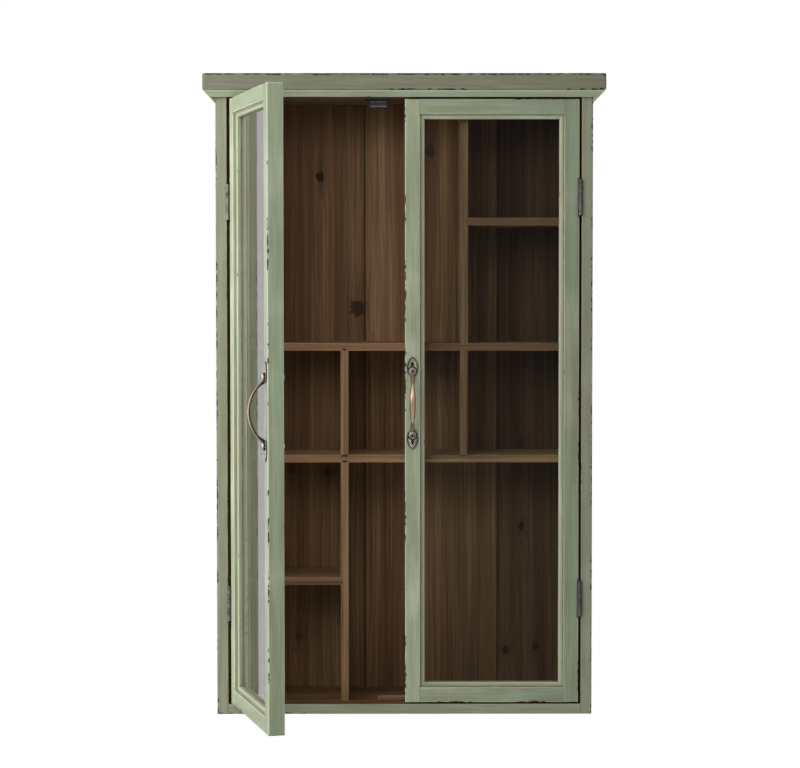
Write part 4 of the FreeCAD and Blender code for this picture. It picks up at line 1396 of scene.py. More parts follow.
@dataclass
class Carcass:
    """The case that stays on the wall: painted sides and cornice, and a stained interior.

    Each pair of seeds is that of the first board and the step to the next.
    """

    joiner: Joiner
    axes: dict[Hand, Vector]
    hinges: Hinges = field(default_factory=Hinges)
    # Painted light: the right side is darker than the left, as if further from the lamps.
    side_tones_and_light: Span = (0.9, 0.83)
    side_age: float = 0.6
    side_seed: float = 3.0
    base_tone: float = 0.94
    base_age: float = 0.9
    base_seed: float = 6.0
    cap_ease: float = 0.0024
    cap_tone: float = 0.62
    cap_age: float = 0.75
    cap_seed: float = 7.0
    moulding_lip: float = 0.001
    moulding_foot: float = 0.001
    moulding_tone: float = 1.18
    front_moulding_seed: float = 8.0
    side_moulding_seed: float = 9.0
    sawn_ease: float = 0.0006
    lip_ease: float = 0.0005
    side_moulding_ease: float = 0.0004
    shelf_step: float = 0.006
    shelf_seeds: Span = (11.0, 1.37)
    # Painted light and shade: the shelf levels lighten the shelves that the lamps reach and darken the top
    # panel.
    shelf_tones_and_light: tuple[tuple[str, float], ...] = (
        ("upper_shelf", 1.35), ("lower_shelf", 1.72), ("right_cell_shelf", 1.1), ("left_cell_shelf", 1.15),
        ("top_panel", 0.9), ("door_stop", 1.0),
    )
    divider_seeds: Span = (21.0, 1.71)
    # Painted light: the divider levels lighten the uprights that the lamps reach.
    divider_tones_and_light: tuple[tuple[str, float], ...] = (
        ("upper_divider", 1.55), ("middle_right_divider", 1.25), ("middle_left_divider", 1.15),
        ("lower_divider", 1.28),
    )
    back_step: float = 0.012
    back_seeds: Span = (31.0, 2.3)
    # Painted light and shade: the right back board is darkest and darkens towards the top, where the
    # dividers shade the right cells; the middle one lightens towards the top.
    back_tones_and_light: tuple[tuple[str, Span], ...] = (
        ("left_back_board", (1.1, 0.92)), ("middle_back_board", (1.08, 1.33)),
        ("right_back_board", (0.74, 0.5)),
    )
    lap_ease: float = 0.001
    # Painted shade: the inner corners of the laps darken, partly as soiling and partly as shade.
    lap_dirt_and_shade: float = 0.8

    def build(self) -> None:
        """Makes every wooden piece of the case."""
        for hand in Hand:
            self.side(hand)
            self.side_moulding(hand)
        self.bottom()
        self.cap()
        self.front_moulding()
        self.interior()
        self.back()

    def piece(self, node: str, timber: Timber, *finishes: PartFinish) -> None:
        """Makes one of the case's pieces from one timber."""
        self.joiner.piece(node, [timber.shape()], list(finishes), Body.CARCASS)

    def side(self, hand: Hand) -> None:
        """One side board, painted outside and stained inside, with its hinge cuts.

        Args:
            hand: Which side.
        """
        node = f"{hand.word}_side"
        low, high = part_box(node)
        axis = self.axes[hand]
        leaves = self.joiner.islands(f"{hand.word}_frame_hinge_leaves")
        inner_face = high.x if hand is Hand.LEFT else low.x
        cuts = self.hinges.cuts(leaves, (axis.x, axis.y), inner_face, hand, self.hinges.frame_notch)
        hair = cuts[0].hair
        edge = axis.y + self.hinges.leaf_reach - low.y
        outer, inner, inner_back, outer_back = Wear.STRONG, Wear.LIGHT, Wear.FAINT, Wear.LIGHT
        if hand is Hand.LEFT:
            wear = (outer, inner, inner_back, outer_back)
            finishes = (PAINTED, STAINED, PAINTED, PAINTED)
            rows = ((), (edge - hair, edge + hair), (), ())
        else:
            wear = (inner, outer, outer_back, inner_back)
            finishes = (PAINTED, PAINTED, PAINTED, STAINED)
            edge = high.y - low.y - edge
            rows = ((), (), (), (edge - hair, edge + hair))
        section = Section.box((low.x, high.x), (low.y, high.y), wear, finishes=finishes, rows=rows)
        timber = Timber(section, Run.UPRIGHT, low.z, high.z, end_wear=Wear.MEDIUM, cuts=cuts,
                        tone_and_light=self.side_tones_and_light[hand > 0], age=self.side_age, seed=self.side_seed + hand)
        self.piece(node, timber, PAINT, FIR)

    def bottom(self) -> None:
        """The bottom board, stained on top."""
        low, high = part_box("bottom_panel")
        wear = (Wear.MEDIUM, Wear.FAINT, Wear.NONE, Wear.LIGHT)
        finishes = (PAINTED, PAINTED, STAINED, PAINTED)
        section = Section.box((low.y, high.y), (low.z, high.z), wear, finishes=finishes)
        timber = Timber(section, Run.ACROSS, low.x, high.x, tone_and_light=self.base_tone, age=self.base_age,
                        seed=self.base_seed)
        self.piece("bottom_panel", timber, PAINT, FIR)

    def cap(self) -> None:
        """The cap board, the most worn of all."""
        low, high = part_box("cornice_cap")
        wear = (Wear.MEDIUM, Wear.FAINT, Wear.LIGHT, Wear.HEAVY)
        section = Section.box((low.y, high.y), (low.z, high.z), wear, self.cap_ease)
        timber = Timber(section, Run.ACROSS, low.x, high.x, end_wear=Wear.LIGHT, ease=self.cap_ease,
                        tone_and_light=self.cap_tone, age=self.cap_age, seed=self.cap_seed)
        self.piece("cornice_cap", timber, PAINT)

    def bevel(self) -> float:
        """How far the moulding's bevel comes out for each step up."""
        low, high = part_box("cornice_right_moulding")
        return (high.x - low.x - self.moulding_foot) / (high.z - low.z - 2 * self.moulding_lip)

    def front_moulding(self) -> None:
        """The front moulding, mitred at both ends."""
        low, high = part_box("cornice_front_moulding")
        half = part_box("right_side")[1].x
        lip = high.z - self.moulding_lip
        sawn = low.y + (lip - low.z) * self.bevel()
        section = Section([
            Corner(sawn, low.z, self.sawn_ease, Wear.LIGHT), Corner.joint(high.y, low.z),
            Corner.joint(high.y, high.z), Corner.joint(low.y, high.z),
            Corner(low.y, lip, self.lip_ease, Wear.FAINT)])
        timber = Timber(section, Run.ACROSS, -half - high.y, half + high.y, (1.0, -1.0),
                        tone_and_light=self.moulding_tone, seed=self.front_moulding_seed)
        self.piece("cornice_front_moulding", timber, PAINT)

    def side_moulding(self, hand: Hand) -> None:
        """One side moulding, mitred at the front.

        Args:
            hand: Which side.
        """
        node = f"cornice_{hand.word}_moulding"
        low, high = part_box(node)
        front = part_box("right_side")[0].y
        half, nose = (low.x, high.x) if hand is Hand.RIGHT else (-high.x, -low.x)
        foot = half + self.moulding_foot
        outline = [
            (foot, low.z, Wear.LIGHT, 0.0), (half, low.z, Wear.NONE, 1.0), (half, high.z, Wear.NONE, 1.0),
            (nose, high.z, Wear.NONE, 1.0), (nose, high.z - self.moulding_lip, Wear.LIGHT, 0.0),
            (foot, low.z + self.moulding_lip, Wear.FAINT, 0.0)]
        ease = self.side_moulding_ease
        corners = [Corner(hand * out, z, ease, wear, dirt) for out, z, wear, dirt in outline]
        section = Section(corners[::-1] if hand is Hand.RIGHT else corners)
        timber = Timber(section, Run.DEEP, front + half, high.y, (-hand, 0.0), tone_and_light=self.moulding_tone,
                        seed=self.side_moulding_seed + hand)
        self.piece(node, timber, PAINT)

    def interior(self) -> None:
        """The shelves, dividers, top panel and stop strip."""
        seed, seed_step = self.shelf_seeds
        for index, (node, tone_and_light) in enumerate(self.shelf_tones_and_light):
            low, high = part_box(node)
            wear = (Wear.LIGHT, Wear.NONE, Wear.NONE, Wear.MEDIUM)
            section = Section.box((low.y, high.y), (low.z, high.z), wear)
            timber = Timber(section, Run.ACROSS, low.x, high.x, tone_and_light=tone_and_light, seed=seed + index * seed_step,
                            step=self.shelf_step)
            self.piece(node, timber, SHELF_FIR)
        seed, seed_step = self.divider_seeds
        for index, (node, tone_and_light) in enumerate(self.divider_tones_and_light):
            low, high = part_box(node)
            wear = (Wear.LIGHT, Wear.LIGHT, Wear.NONE, Wear.NONE)
            section = Section.box((low.x, high.x), (low.y, high.y), wear)
            timber = Timber(section, Run.UPRIGHT, low.z, high.z, tone_and_light=tone_and_light, seed=seed + index * seed_step,
                            step=self.shelf_step)
            self.piece(node, timber, SHELF_FIR)

    def back(self) -> None:
        """The three lapped back boards."""
        boxes = [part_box(node) for node, _ in self.back_tones_and_light]
        last = len(boxes) - 1
        lap = boxes[0][1].x - boxes[1][0].x
        seed, seed_step = self.back_seeds
        for index, ((node, tone_and_light), (low, high)) in enumerate(zip(self.back_tones_and_light, boxes)):
            middle = (low.y + high.y) / 2
            face = high.x - (lap if index < last else 0.0)
            outline = [(low.x, low.y), (face, low.y)]
            if index < last:
                outline += [(face, middle), (high.x, middle)]
            outline.append((high.x, high.y))
            if index:
                outline += [(low.x + lap, high.y), (low.x + lap, middle), (low.x, middle)]
            else:
                outline.append((low.x, high.y))
            section = Section([Corner(x, y, self.lap_ease, Wear.NONE, self.lap_dirt_and_shade) for x, y in outline])
            timber = Timber(section, Run.UPRIGHT, low.z, high.z, tone_and_light=tone_and_light, seed=seed + index * seed_step,
                            step=self.back_step)
            self.piece(node, timber, KNOTTY_FIR)

    def dress(self) -> None:
        """Gives the hardware and the hanging rail their finishes."""
        finishes = {
            "hanging_rail": RAIL_FIR, "back_board_nails": ZINC, "hanger_plates": ZINC,
            "hanger_screws": ZINC, "catch_pole_plates": POLE_STEEL, "catch_screws": ZINC,
            "catch_housings": PLASTIC, "catch_magnets": FERRITE, "left_frame_hinge_leaves": LIMED_AND_LIT_STEEL,
            "right_frame_hinge_leaves": HINGE_STEEL, "frame_leaf_screws": HINGE_STEEL,
            "hinge_pins": HINGE_STEEL,
        }
        for node, finish in finishes.items():
            self.joiner.paint_node(node, finish)


@dataclass
class Handle:
    """A cast bow handle: a flattened grip, two domed bosses and two pointed leaf rosettes.

    Attributes:
        centre: Place of the handle's middle in the door's frame.
        ends: Heights of the two bosses.
        projection: How far the grip stands off the door's face.
        bow: Half-widths and half-depths of the grip, each row after its share of the way to a foot.
        dome: The boss's profile as radius, height off the door and relief.
        neck: Share of the way to a foot where the rubbed spindle ends.
        neck_fade: How softly it ends, as a share.
        neck_relief: The neck's relief at its sides, and what its crest adds.
        spindle_sides: Where the spindle's dark sides start, how wide they are and how dark.
        spindle_back: The relief behind the spindle.
        foot_inset: How far the bow's feet stand in from the bosses' middles.
        root: How far off the door the bow's feet are.
        disc: Radius of the rosette's round foot.
        leaf_half: Half the leaf's width.
        waist: Height above the boss where the leaf is widest.
        tip: Height of the leaf's tip.
        least_half: The least half-width, at the leaf's ends.
        border_radius: Radius of the beaded border.
        border_rise: How high the border's foot and its beads stand.
        pearl_pitch: Distance between the border's beads.
        pearl_shares: How much of a bead's height runs on between beads, and how much doesn't.
        groove: Where the groove inside the border starts and ends, in from the edge.
        groove_start: How high above the boss that groove starts.
        moat: Radii of the hollow round the boss.
        moat_start: The height from which the hollow shows.
        lobes: Round hollows as places across and up, and radii.
        hollow_rise: How high a hollow's floor stands.
        collar: Radius and height of the seat under the boss.
        rib_turns: Ribs a metre up and across.
        rib_rise: How high the leaf stands, and what a rib adds.
        rib_relief: The leaf's relief, and what a rib adds.
        bloom: How grey-green the boss is.
        grip_rings: Rings from the grip's middle to each foot.
        around: Points round the grip.
        leaf_rows: Rows of points up the leaf.
        leaf_columns: Points across it.
        leaf_shares: How much of its foot and tip the rows take in.
    """

    centre: Vector
    ends: Span
    projection: float
    bow: tuple[Triple, ...] = (
        (0.0, 0.0044, 0.0017), (0.2, 0.0043, 0.0017), (0.36, 0.0038, 0.0016), (0.52, 0.0030, 0.0015),
        (0.61, 0.0022, 0.0015), (0.64, 0.0021, 0.0015), (0.7, 0.0027, 0.0016), (0.82, 0.0031, 0.0019),
        (0.9, 0.0032, 0.0025), (1.0, 0.0034, 0.0032),
    )
    dome: tuple[Triple, ...] = (
        (0.0058, 0.0014, 0.05), (0.0060, 0.0031, 0.15), (0.0057, 0.0047, 0.35), (0.0051, 0.0059, 0.85),
        (0.0045, 0.0066, 0.8), (0.0039, 0.0067, 0.3), (0.0033, 0.0067, 0.25), (0.0027, 0.0072, 0.5),
        (0.0020, 0.0074, 0.4), (0.0013, 0.0071, 0.08), (0.0008, 0.0069, 0.0), (0.0003, 0.0069, 0.0),
    )
    neck: float = 0.63
    neck_fade: float = 0.03
    neck_relief: Span = (0.1, 0.5)
    spindle_sides: Triple = (0.45, 0.45, 0.9)
    spindle_back: float = 0.2
    foot_inset: float = 0.0062
    root: float = 0.0035
    disc: float = 0.008
    leaf_half: float = 0.0092
    waist: float = 0.0055
    tip: float = 0.022
    least_half: float = 0.0003
    border_radius: float = 0.0009
    border_rise: Span = (0.0007, 0.0018)
    pearl_pitch: float = 0.0026
    pearl_shares: Span = (0.3, 0.7)
    groove: Span = (0.0019, 0.0026)
    groove_start: float = 0.004
    moat: Span = (0.0054, 0.0072)
    moat_start: float = -0.0022
    lobes: tuple[Triple, ...] = (
        (0.0013, 0.0098, 0.0014), (-0.0013, 0.0098, 0.0014), (0.0, 0.0122, 0.0016), (0.0, 0.0083, 0.0012),
    )
    hollow_rise: float = 0.0005
    collar: Span = (0.0058, 0.0014)
    rib_turns: Span = (210.0, 300.0)
    rib_rise: Span = (0.0012, 0.0007)
    rib_relief: Span = (0.38, 0.34)
    bloom: float = 0.8
    grip_rings: int = 70
    around: int = 20
    leaf_rows: int = 140
    leaf_columns: int = 57
    leaf_shares: Span = (0.995, 0.999)

    def to_door(self, across: np.ndarray, out: np.ndarray, up: np.ndarray) -> np.ndarray:
        """Points in the door's frame from places across, out from the face and up."""
        across, out, up = np.broadcast_arrays(across, out, up)
        return np.stack([self.centre.x + across, self.centre.y - out, up], axis=-1)

    def grip(self) -> Shape:
        """The bow: oval rings along an arc, with a rubbed spindle, plain necks and flared roots.

        Returns:
            The bow in the door's frame.
        """
        low, high = self.ends
        half = (high - low) / 2 - self.foot_inset
        crown = self.projection - self.bow[0][2]
        rise = crown - self.root
        radius = (half * half + rise * rise) / (2 * rise)
        places, widths, depths = np.array(self.bow).T
        foot_way = np.linspace(0, 1, self.grip_rings)
        way = np.concatenate([-foot_way[::-1], foot_way[1:]])[:, None]
        wide = np.interp(np.abs(way), places, widths)
        deep = np.interp(np.abs(way), places, depths)
        turn = np.linspace(0, 2 * math.pi, self.around, endpoint=False)[None, :]
        angle = math.asin(half / radius) * way
        stand = radius + deep * np.cos(turn)
        out = crown - radius + stand * np.cos(angle)
        up = (low + high) / 2 + stand * np.sin(angle)
        rings = self.to_door(wide * np.sin(turn), out, up)
        relief = self.grip_relief(way, turn)
        return Shape.tube(rings, {"relief": relief, "bloom": np.zeros(relief.shape)})

    def grip_relief(self, way: np.ndarray, turn: np.ndarray) -> np.ndarray:
        """How rubbed the grip is: bright on the spindle's crest, dark at its sides and on the necks.

        Args:
            way: Shares of the way from the grip's middle to a foot.
            turn: Angles round the grip, with its crest at nought.

        Returns:
            The relief that the brass reads.
        """
        start, width, dark = self.spindle_sides
        side = np.clip((np.abs(np.sin(turn)) - start) / width, 0.0, 1.0)
        rubbed = np.where(np.cos(turn) > 0, 1.0 - dark * smooth(side), self.spindle_back)
        spindle = np.clip((self.neck - np.abs(way)) / self.neck_fade, 0.0, 1.0)
        plain, crest = self.neck_relief
        return spindle * rubbed + (1 - spindle) * (plain + crest * np.clip(np.cos(turn), 0.0, 1.0))

    def boss(self, up: float) -> Shape:
        """A domed boss with a pale ring and a dark eye, turned about the screw's line.

        Args:
            up: The boss's height.

        Returns:
            The boss in the door's frame.
        """
        radii, outs, reliefs = (column[:, None] for column in np.array(self.dome).T)
        turn = np.linspace(0, 2 * math.pi, 2 * self.around, endpoint=False)[None, :]
        rings = self.to_door(radii * np.cos(turn), outs, up + radii * np.sin(turn))
        relief = np.broadcast_to(reliefs, rings.shape[:2])
        return Shape.tube(rings, {"relief": relief, "bloom": np.full(relief.shape, self.bloom)})

    def half_width(self, up: np.ndarray) -> np.ndarray:
        """The leaf's outline: a round foot, a swelling and a pointed arch.

        Args:
            up: Heights above the boss.

        Returns:
            Half-widths at those heights.
        """
        radius = ((self.tip - self.waist) ** 2 + self.leaf_half ** 2) / (2 * self.leaf_half)
        foot = np.sqrt(np.maximum(0.0, self.disc ** 2 - up ** 2))
        swell = self.disc + (self.leaf_half - self.disc) * smooth(np.clip(up / self.waist, 0.0, 1.0))
        arch = np.sqrt(np.maximum(0.0, radius ** 2 - (up - self.waist) ** 2)) - (radius - self.leaf_half)
        return np.where(up < 0, foot, np.where(up < self.waist, swell, np.maximum(arch, 0.0)))

    def rosette(self, up: float, way: int) -> Shape:
        """A pointed leaf with a beaded border, hollows round the boss and ribs, flat at the back.

        Args:
            up: The boss's height.
            way: Which way the tip points.

        Returns:
            The rosette in the door's frame.
        """
        foot_share, tip_share = self.leaf_shares
        level = np.linspace(-self.disc * foot_share, self.tip * tip_share, self.leaf_rows)
        half = np.maximum(self.half_width(level), self.least_half)
        border = np.concatenate([[0.0], np.cumsum(np.hypot(np.diff(half), np.diff(level)))])
        share = np.linspace(-1, 1, self.leaf_columns)
        across = share[None, :] * half[:, None]
        edge = (1 - np.abs(share))[None, :] * half[:, None]
        tall = np.broadcast_to(level[:, None], across.shape)
        out, relief = self.leaf_relief(across, tall, edge, border[:, None])
        front = self.to_door(across, out, up + way * tall)
        rear = self.to_door(across, np.zeros(out.shape), up + way * tall)
        rings = np.concatenate([front, rear[:, ::-1]], axis=1)
        relief = np.concatenate([relief, np.zeros(relief.shape)], axis=1)
        return Shape.tube(rings, {"relief": relief, "bloom": np.ones(relief.shape)})

    def leaf_relief(self, across: np.ndarray, tall: np.ndarray, edge: np.ndarray,
                    border: np.ndarray) -> tuple[np.ndarray, np.ndarray]:
        """How high the leaf stands off the door, and the relief that the brass reads.

        Args:
            across: Places across the leaf.
            tall: Heights above the boss.
            edge: Distances in from the leaf's edge.
            border: Distances along that edge.

        Returns:
            Heights off the door, and reliefs from nought to one.
        """
        inside, groove_end = self.groove
        bead = np.sqrt(np.clip(1 - ((edge - self.border_radius) / self.border_radius) ** 2, 0.0, 1.0))
        pearl = wave(border / self.pearl_pitch)
        ribs = wave(tall * self.rib_turns[0] - np.abs(across) * self.rib_turns[1])
        away = np.hypot(across, tall)
        hollow = (away > self.moat[0]) & (away < self.moat[1]) & (tall > self.moat_start)
        hollow |= (edge > inside) & (edge < groove_end) & (tall > self.groove_start)
        for x, y, radius in self.lobes:
            hollow |= np.hypot(across - x, tall - y) < radius
        run_on, swing = self.pearl_shares
        beaded = self.border_rise[0] + self.border_rise[1] * bead * (run_on + swing * pearl)
        out = np.where(edge < inside, beaded, self.rib_rise[0] + self.rib_rise[1] * ribs)
        out = np.where(hollow, self.hollow_rise, np.where(away < self.collar[0], self.collar[1], out))
        ribbed = self.rib_relief[0] + self.rib_relief[1] * ribs
        return out, np.where(hollow, 0.0, np.where(edge < inside, bead * pearl, ribbed))


@dataclass
class Door:
    """One glazed door, built in the closed right door's measures and hung at its own angle.

    The tones are levels of colour that paint light and shade onto the frame and beads: the open left door
    is lighter, and the right door darkens towards its hinge. They are those of the left door and then the
    right; a span of them runs from the hinge side or from below.

    Attributes:
        joiner: Makes the pieces.
        hand: Which door.
        axis: The hinge axis.
        angle: How far the door stands open at rest, in radians.
    """

    joiner: Joiner
    hand: Hand
    axis: Vector
    angle: float
    hinges: Hinges = field(default_factory=Hinges)
    meeting_ease: float = 0.0012
    # Painted light and shade: these levels lighten the open left door and darken the right door towards its
    # hinge.
    hinge_tones_and_light: Span = (1.23, 0.82)
    meeting_tones_and_light: tuple[Span, Span] = ((1.03, 1.0), (1.4, 1.22))
    bottom_rail_tones_and_light: tuple[Span, Span] = ((1.05, 1.0), (0.85, 1.2))
    top_rail_tones_and_light: tuple[Span, Span] = ((1.08, 1.02), (0.78, 1.02))
    frame_seed: float = 41.0
    meeting_seed: float = 3.3
    rail_seed: float = 5.1
    bead_width: float = 0.007
    bead_step: float = 0.006
    # Painted light: the beads are lightened as if more brightly lit.
    bead_tones_and_light: Span = (1.25, 1.3)
    bead_age: float = 0.75
    # Painted shade: how far the darkening reaches from the beads' joints, partly soiling and partly shade.
    bead_dirt_and_shade: float = 0.0015
    bead_sharp: float = 50.0
    bead_seeds: Span = (51.0, 61.0)
    stick_seed: float = 1.9
    quirk_width: float = 0.0022
    quirk_depth: float = 0.003
    # Painted shade: the quirk's floor and wall darken, partly as soiling and partly as the frame's shade.
    quirk_dirt_and_shade: Span = (0.75, 0.4)
    rear_bevel: float = 0.0025
    handle_sharp: float = 60.0

    @property
    def name(self) -> str:
        """The first word of the door's nodes."""
        return self.hand.word

    @property
    def side(self) -> int:
        """Nought for the left door and one for the right."""
        return (self.hand + 1) // 2

    @property
    def body(self) -> Body:
        """The body that the door's pieces ride on."""
        return Body.LEFT if self.hand is Hand.LEFT else Body.RIGHT

    def place(self) -> Matrix:
        """Where the door hangs at rest.

        Returns:
            The matrix from the door's own frame to the row frame.
        """
        mirror = Matrix.Diagonal((-self.hand, 1.0, 1.0, 1.0))
        swing = Matrix.Rotation(self.hand * self.angle, 4, "Z")
        return Matrix.Translation((self.axis.x, self.axis.y, 0.0)) @ swing @ mirror

    def span(self, node: str) -> tuple[Span, Span, Span]:
        """A node's spans in the door's own frame, measured on the closed right door.

        Args:
            node: The node's name without the door's.

        Returns:
            The spans in u, v and z.
        """
        low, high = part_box(f"right_{node}")
        out, deep = abs(self.axis.x), self.axis.y
        return (out - high.x, out - low.x), (low.y - deep, high.y - deep), (low.z, high.z)

    def piece(self, node: str, shapes: Iterable[Shape], finish: PartFinish, sharp: float = SHARP) -> None:
        """Makes one of the door's pieces."""
        self.joiner.piece(f"{self.name}_{node}", shapes, [finish], self.body, self.place(), sharp)

    def build(self) -> None:
        """Makes the frame, the beads and the handle."""
        self.frame()
        self.beads()
        self.handle()

    def frame(self) -> None:
        """The stiles and rails, with the hinge cuts in the hinge stile."""
        near, depth, tall = self.span("hinge_stile")
        far = self.span("meeting_stile")[0]
        leaves = self.joiner.islands(f"{self.name}_door_hinge_leaves")
        cuts = self.hinges.cuts(leaves, (0.0, 0.0), near[0], 1, self.hinges.door_notch)
        hair = cuts[0].hair
        edge = depth[1] - self.hinges.leaf_reach
        low_rail, high_rail = (self.span(node)[2] for node in ("bottom_rail", "top_rail"))
        faint = (Wear.FAINT, Wear.FAINT, Wear.FAINT)
        seed = self.frame_seed + self.hand
        rows = ((), (), (), (edge - hair, edge + hair))
        section = Section.box(near, depth, (Wear.LIGHT, *faint), rows=rows)
        stile = Timber(section, Run.UPRIGHT, *tall, end_wear=Wear.LIGHT, cuts=cuts,
                       covered=((near[1], low_rail), (near[1], high_rail)),
                       tone_and_light=self.hinge_tones_and_light[self.side], seed=seed)
        self.piece("hinge_stile", [stile.shape()], PAINT)
        wear = (Wear.FAINT, Wear.MEDIUM, Wear.FAINT, Wear.FAINT)
        section = Section.box(far, depth, wear, self.meeting_ease)
        stile = Timber(section, Run.UPRIGHT, *tall, end_wear=Wear.MEDIUM,
                       covered=((far[0], low_rail), (far[0], high_rail)),
                       tone_and_light=self.meeting_tones_and_light[self.side], seed=seed + self.meeting_seed)
        self.piece("meeting_stile", [stile.shape()], PAINT)
        rails = (("bottom_rail", low_rail, (Wear.MEDIUM, *faint), self.bottom_rail_tones_and_light),
                 ("top_rail", high_rail, (*faint, Wear.LIGHT), self.top_rail_tones_and_light))
        for index, (node, level, wear, tones) in enumerate(rails):
            rail = Timber(Section.box(depth, level, wear), Run.ACROSS, near[1], far[0],
                          tone_and_light=tones[self.side], seed=seed + self.rail_seed + index)
            self.piece(node, [rail.shape()], PAINT)

    def ring(self, outline: list[Corner], seed: float) -> list[Shape]:
        """Four mitred sticks round the opening.

        Args:
            outline: The section, with u in from the frame and v back from the door's face.
            seed: Sets the sticks' grain and chips.

        Returns:
            The sticks' shapes.
        """
        near, (face, _), _ = self.span("hinge_stile")
        near, far = near[1], self.span("meeting_stile")[0][0]
        low, high = self.span("bottom_rail")[2][1], self.span("top_rail")[2][0]
        runs = ((Run.UPRIGHT, near, 1, low, high), (Run.UPRIGHT, far, -1, low, high),
                (Run.ACROSS_FACE, low, 1, near, far), (Run.ACROSS_FACE, high, -1, near, far))
        shapes = []
        for index, (run, base, way, start, end) in enumerate(runs):
            corners = [replace(c, u=base + way * c.u, v=face + c.v) for c in outline]
            section = Section(corners if way > 0 else corners[::-1], dirt_reach=self.bead_dirt_and_shade)
            timber = Timber(section, run, start - way * base, end + way * base, (way, -way),
                            tone_and_light=self.bead_tones_and_light[self.side], age=self.bead_age,
                            seed=seed + index * self.stick_seed, step=self.bead_step)
            shapes.append(timber.shape())
        return shapes

    def beads(self) -> None:
        """The quirked and rounded beads in front of the glass and the bevelled ones behind it."""
        face = self.span("hinge_stile")[1][0]
        width, quirk, depth = self.bead_width, self.quirk_width, self.quirk_depth
        nose = (width - quirk) / 2
        front_seed, rear_seed = (seed + self.hand for seed in self.bead_seeds)
        crest, rear = (place - face for place in self.span("front_beads")[1])
        outline = [
            Corner.joint(0.0, rear), Corner.joint(0.0, depth, self.quirk_dirt_and_shade[0]),
            Corner.joint(quirk, depth, self.quirk_dirt_and_shade[1]), Corner(quirk, crest, nose, Wear.FAINT),
            Corner(width, crest, nose, Wear.FAINT), Corner.joint(width, rear)]
        self.piece("front_beads", self.ring(outline, front_seed), PAINT, self.bead_sharp)
        front, back = (place - face for place in self.span("rear_beads")[1])
        outline = [
            Corner.joint(0.0, back), Corner.joint(0.0, front), Corner.joint(width, front),
            Corner(width, back - self.rear_bevel), Corner(width - self.rear_bevel, back)]
        self.piece("rear_beads", self.ring(outline, rear_seed), PAINT)

    def handle(self) -> None:
        """The bow handle on the meeting stile."""
        across, depth, tall = self.span("handle_grip")
        face = self.span("meeting_stile")[1][0]
        screws = [sum(island) / 2 for island in self.joiner.islands("right_handle_screws")]
        centre = Vector((sum(across) / 2, face, sum(tall) / 2))
        handle = Handle(centre, (screws[0], screws[-1]), face - depth[0])
        bow = [handle.grip(), *(handle.boss(end) for end in handle.ends)]
        leaves = [handle.rosette(end, way) for end, way in zip(handle.ends, (-1, 1))]
        self.piece("handle_grip", bow, BRASS, self.handle_sharp)
        self.piece("handle_rosettes", leaves, BRASS, self.handle_sharp)

    def dress(self) -> None:
        """Gives the glass and the hardware their finishes."""
        finishes = {"glass_pane": GLASS, "handle_screws": ZINC, "strike_plate": ZINC,
                    "door_hinge_leaves": HINGE_STEEL, "door_wood_screws": HINGE_STEEL}
        for node, finish in finishes.items():
            self.joiner.paint_node(f"{self.name}_{node}", finish)


@dataclass(frozen=True)
class Lamp:
    """A soft rectangular lamp."""

    name: str
    place: Triple
    aim: Triple
    size: Span
    watts: float

    def build(self) -> None:
        """Hangs the lamp and turns it to its aim."""
        light = bpy.data.lights.new(self.name, "AREA")
        light.shape = "RECTANGLE"
        light.size, light.size_y = self.size
        light.energy = self.watts
        made = bpy.data.objects.new(self.name, light)
        made.location = self.place
        made.rotation_euler = (Vector(self.aim) - Vector(self.place)).to_track_quat("-Z", "Y").to_euler()
        made.visible_camera = False
        bpy.context.scene.collection.objects.link(made)


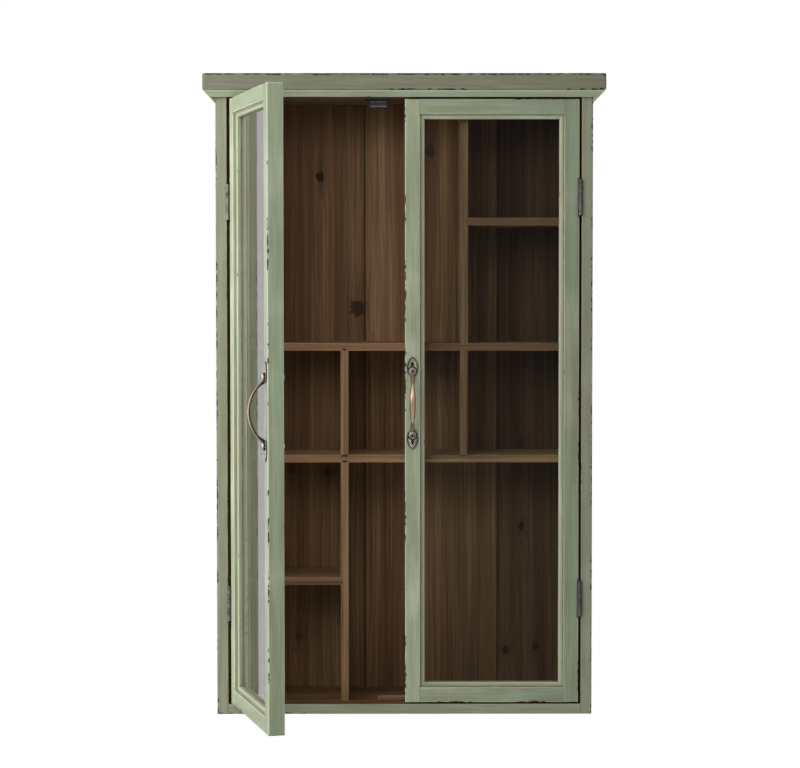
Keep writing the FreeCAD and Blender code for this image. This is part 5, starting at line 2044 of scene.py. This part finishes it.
@dataclass
class Studio:
    """The camera, the lamps, the white surround and a pale floor below the cabinet.

    Attributes:
        place: The camera's place.
        tilt: How far it looks up, in degrees.
        yaw: How far it turns to the left, in degrees.
        roll: How far it leans, in degrees.
        lens: Its focal length in millimetres.
        sensor: Its sensor's width in millimetres.
        floor_level: Height of the floor.
        floor_half: Half the floor's width.
        fill: Level of the surround where it lights the cabinet.
        card: Level of a dark card behind the camera, which reflections show.
        card_edge: Where the card fades out, as the surround's direction along Y.
        backdrop: Level of the surround in reflections.
        lamps: The lamps.
    """

    place: Triple = (-0.0136, -3.4173, -0.2759)
    tilt: float = -2.227
    yaw: float = -0.125
    roll: float = 0.027
    lens: float = 97.58
    sensor: float = 36.0
    floor_level: float = -1.7
    floor_half: float = 2.3
    fill: float = 0.31
    card: float = 0.05
    card_edge: Span = (-0.94, -0.8)
    backdrop: float = 0.70
    lamps: tuple[Lamp, ...] = (
        Lamp("key", (-1.27, -1.80, 0.33), (0.0, -0.17, -0.42), (1.0, 1.0), 22.0),
        Lamp("side", (-1.57, -0.45, -0.28), (0.0, -0.17, -0.42), (1.0, 1.4), 19.0),
        Lamp("front", (-0.16, -2.03, 0.75), (0.0, -0.17, -0.42), (1.2, 1.0), 7.5),
        Lamp("back", (1.55, 1.0, 0.1), (0.2, 0.0, -0.42), (1.0, 1.0), 14.0),
    )

    def build(self) -> None:
        """Sets up everything round the cabinet."""
        self.camera()
        self.world()
        self.floor()
        for lamp in self.lamps:
            lamp.build()
        bpy.context.scene.view_settings.view_transform = "Standard"

    def camera(self) -> None:
        """Places the camera where the photo was taken."""
        data = bpy.data.cameras.new("camera")
        data.lens = self.lens
        data.sensor_width = self.sensor
        made = bpy.data.objects.new("camera", data)
        turns = ((self.yaw, "Z"), (self.tilt, "X"), (self.roll, "Y"), (90.0, "X"))
        pose = Matrix.Translation(self.place)
        for angle, axis in turns:
            pose = pose @ Matrix.Rotation(math.radians(angle), 4, axis)
        made.matrix_world = pose
        bpy.context.scene.collection.objects.link(made)
        bpy.context.scene.camera = made

    def world(self) -> None:
        """White where it is seen, a soft fill elsewhere, and a dark card at the front for reflections."""
        world = bpy.data.worlds.new("surround")
        world.use_nodes = True
        bpy.context.scene.world = world
        s = Shader(world.node_tree)
        rays = s.node("LightPath").outputs
        way = s.node("SeparateXYZ", {0: s.node("TexCoord").outputs["Generated"]}).outputs[1]
        gloss = s.remap(way, Ramp(*self.card_edge, self.card, self.backdrop))
        clear = s.remap(way, Ramp(*self.card_edge, self.card, 1.0))
        level: object = self.fill
        for ray, seen in (("Is Glossy Ray", gloss), ("Is Transmission Ray", clear), ("Is Camera Ray", 1.0)):
            inputs = {"Factor": rays[ray], "A": level, "B": seen}
            level = s.node("Mix", inputs, data_type="FLOAT").outputs[0]
        shade = s.node("Background", {"Color": WHITE, "Strength": level})
        s.node("OutputWorld", {"Surface": shade.outputs[0]})

    def floor(self) -> None:
        """A pale floor well below the cabinet, which hangs on a wall."""
        half = self.floor_half
        mesh = bpy.data.meshes.new("floor")
        corners = [(-half, -half), (half, -half), (half, half), (-half, half)]
        mesh.from_pydata([(x, y, self.floor_level) for x, y in corners], [], [(0, 1, 2, 3)])
        mesh.materials.append(FLOOR.material())
        made = bpy.data.objects.new("floor", mesh)
        bpy.context.scene.collection.objects.link(made)


def main() -> None:
    """Loads the frame, dresses it and sets up the studio."""
    logging.basicConfig(level=logging.INFO, format="%(name)s: %(message)s")
    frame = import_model()
    joiner = Joiner(frame["nodes"])
    joints = {joint["child"]: joint for joint in frame["joints"]}
    doors = {Hand.LEFT: joints[Body.LEFT.value], Hand.RIGHT: joints[Body.RIGHT.value]}
    axes = {hand: Vector(joint["pos_m"]) for hand, joint in doors.items()}
    carcass = Carcass(joiner, axes)
    carcass.build()
    carcass.dress()
    for hand, joint in doors.items():
        door = Door(joiner, hand, axes[hand], math.radians(-joint["range_deg"][0]))
        door.build()
        door.dress()
    Studio().build()
    log.info("%d pieces made", joiner.made)


if __name__ == "__main__":
    main()
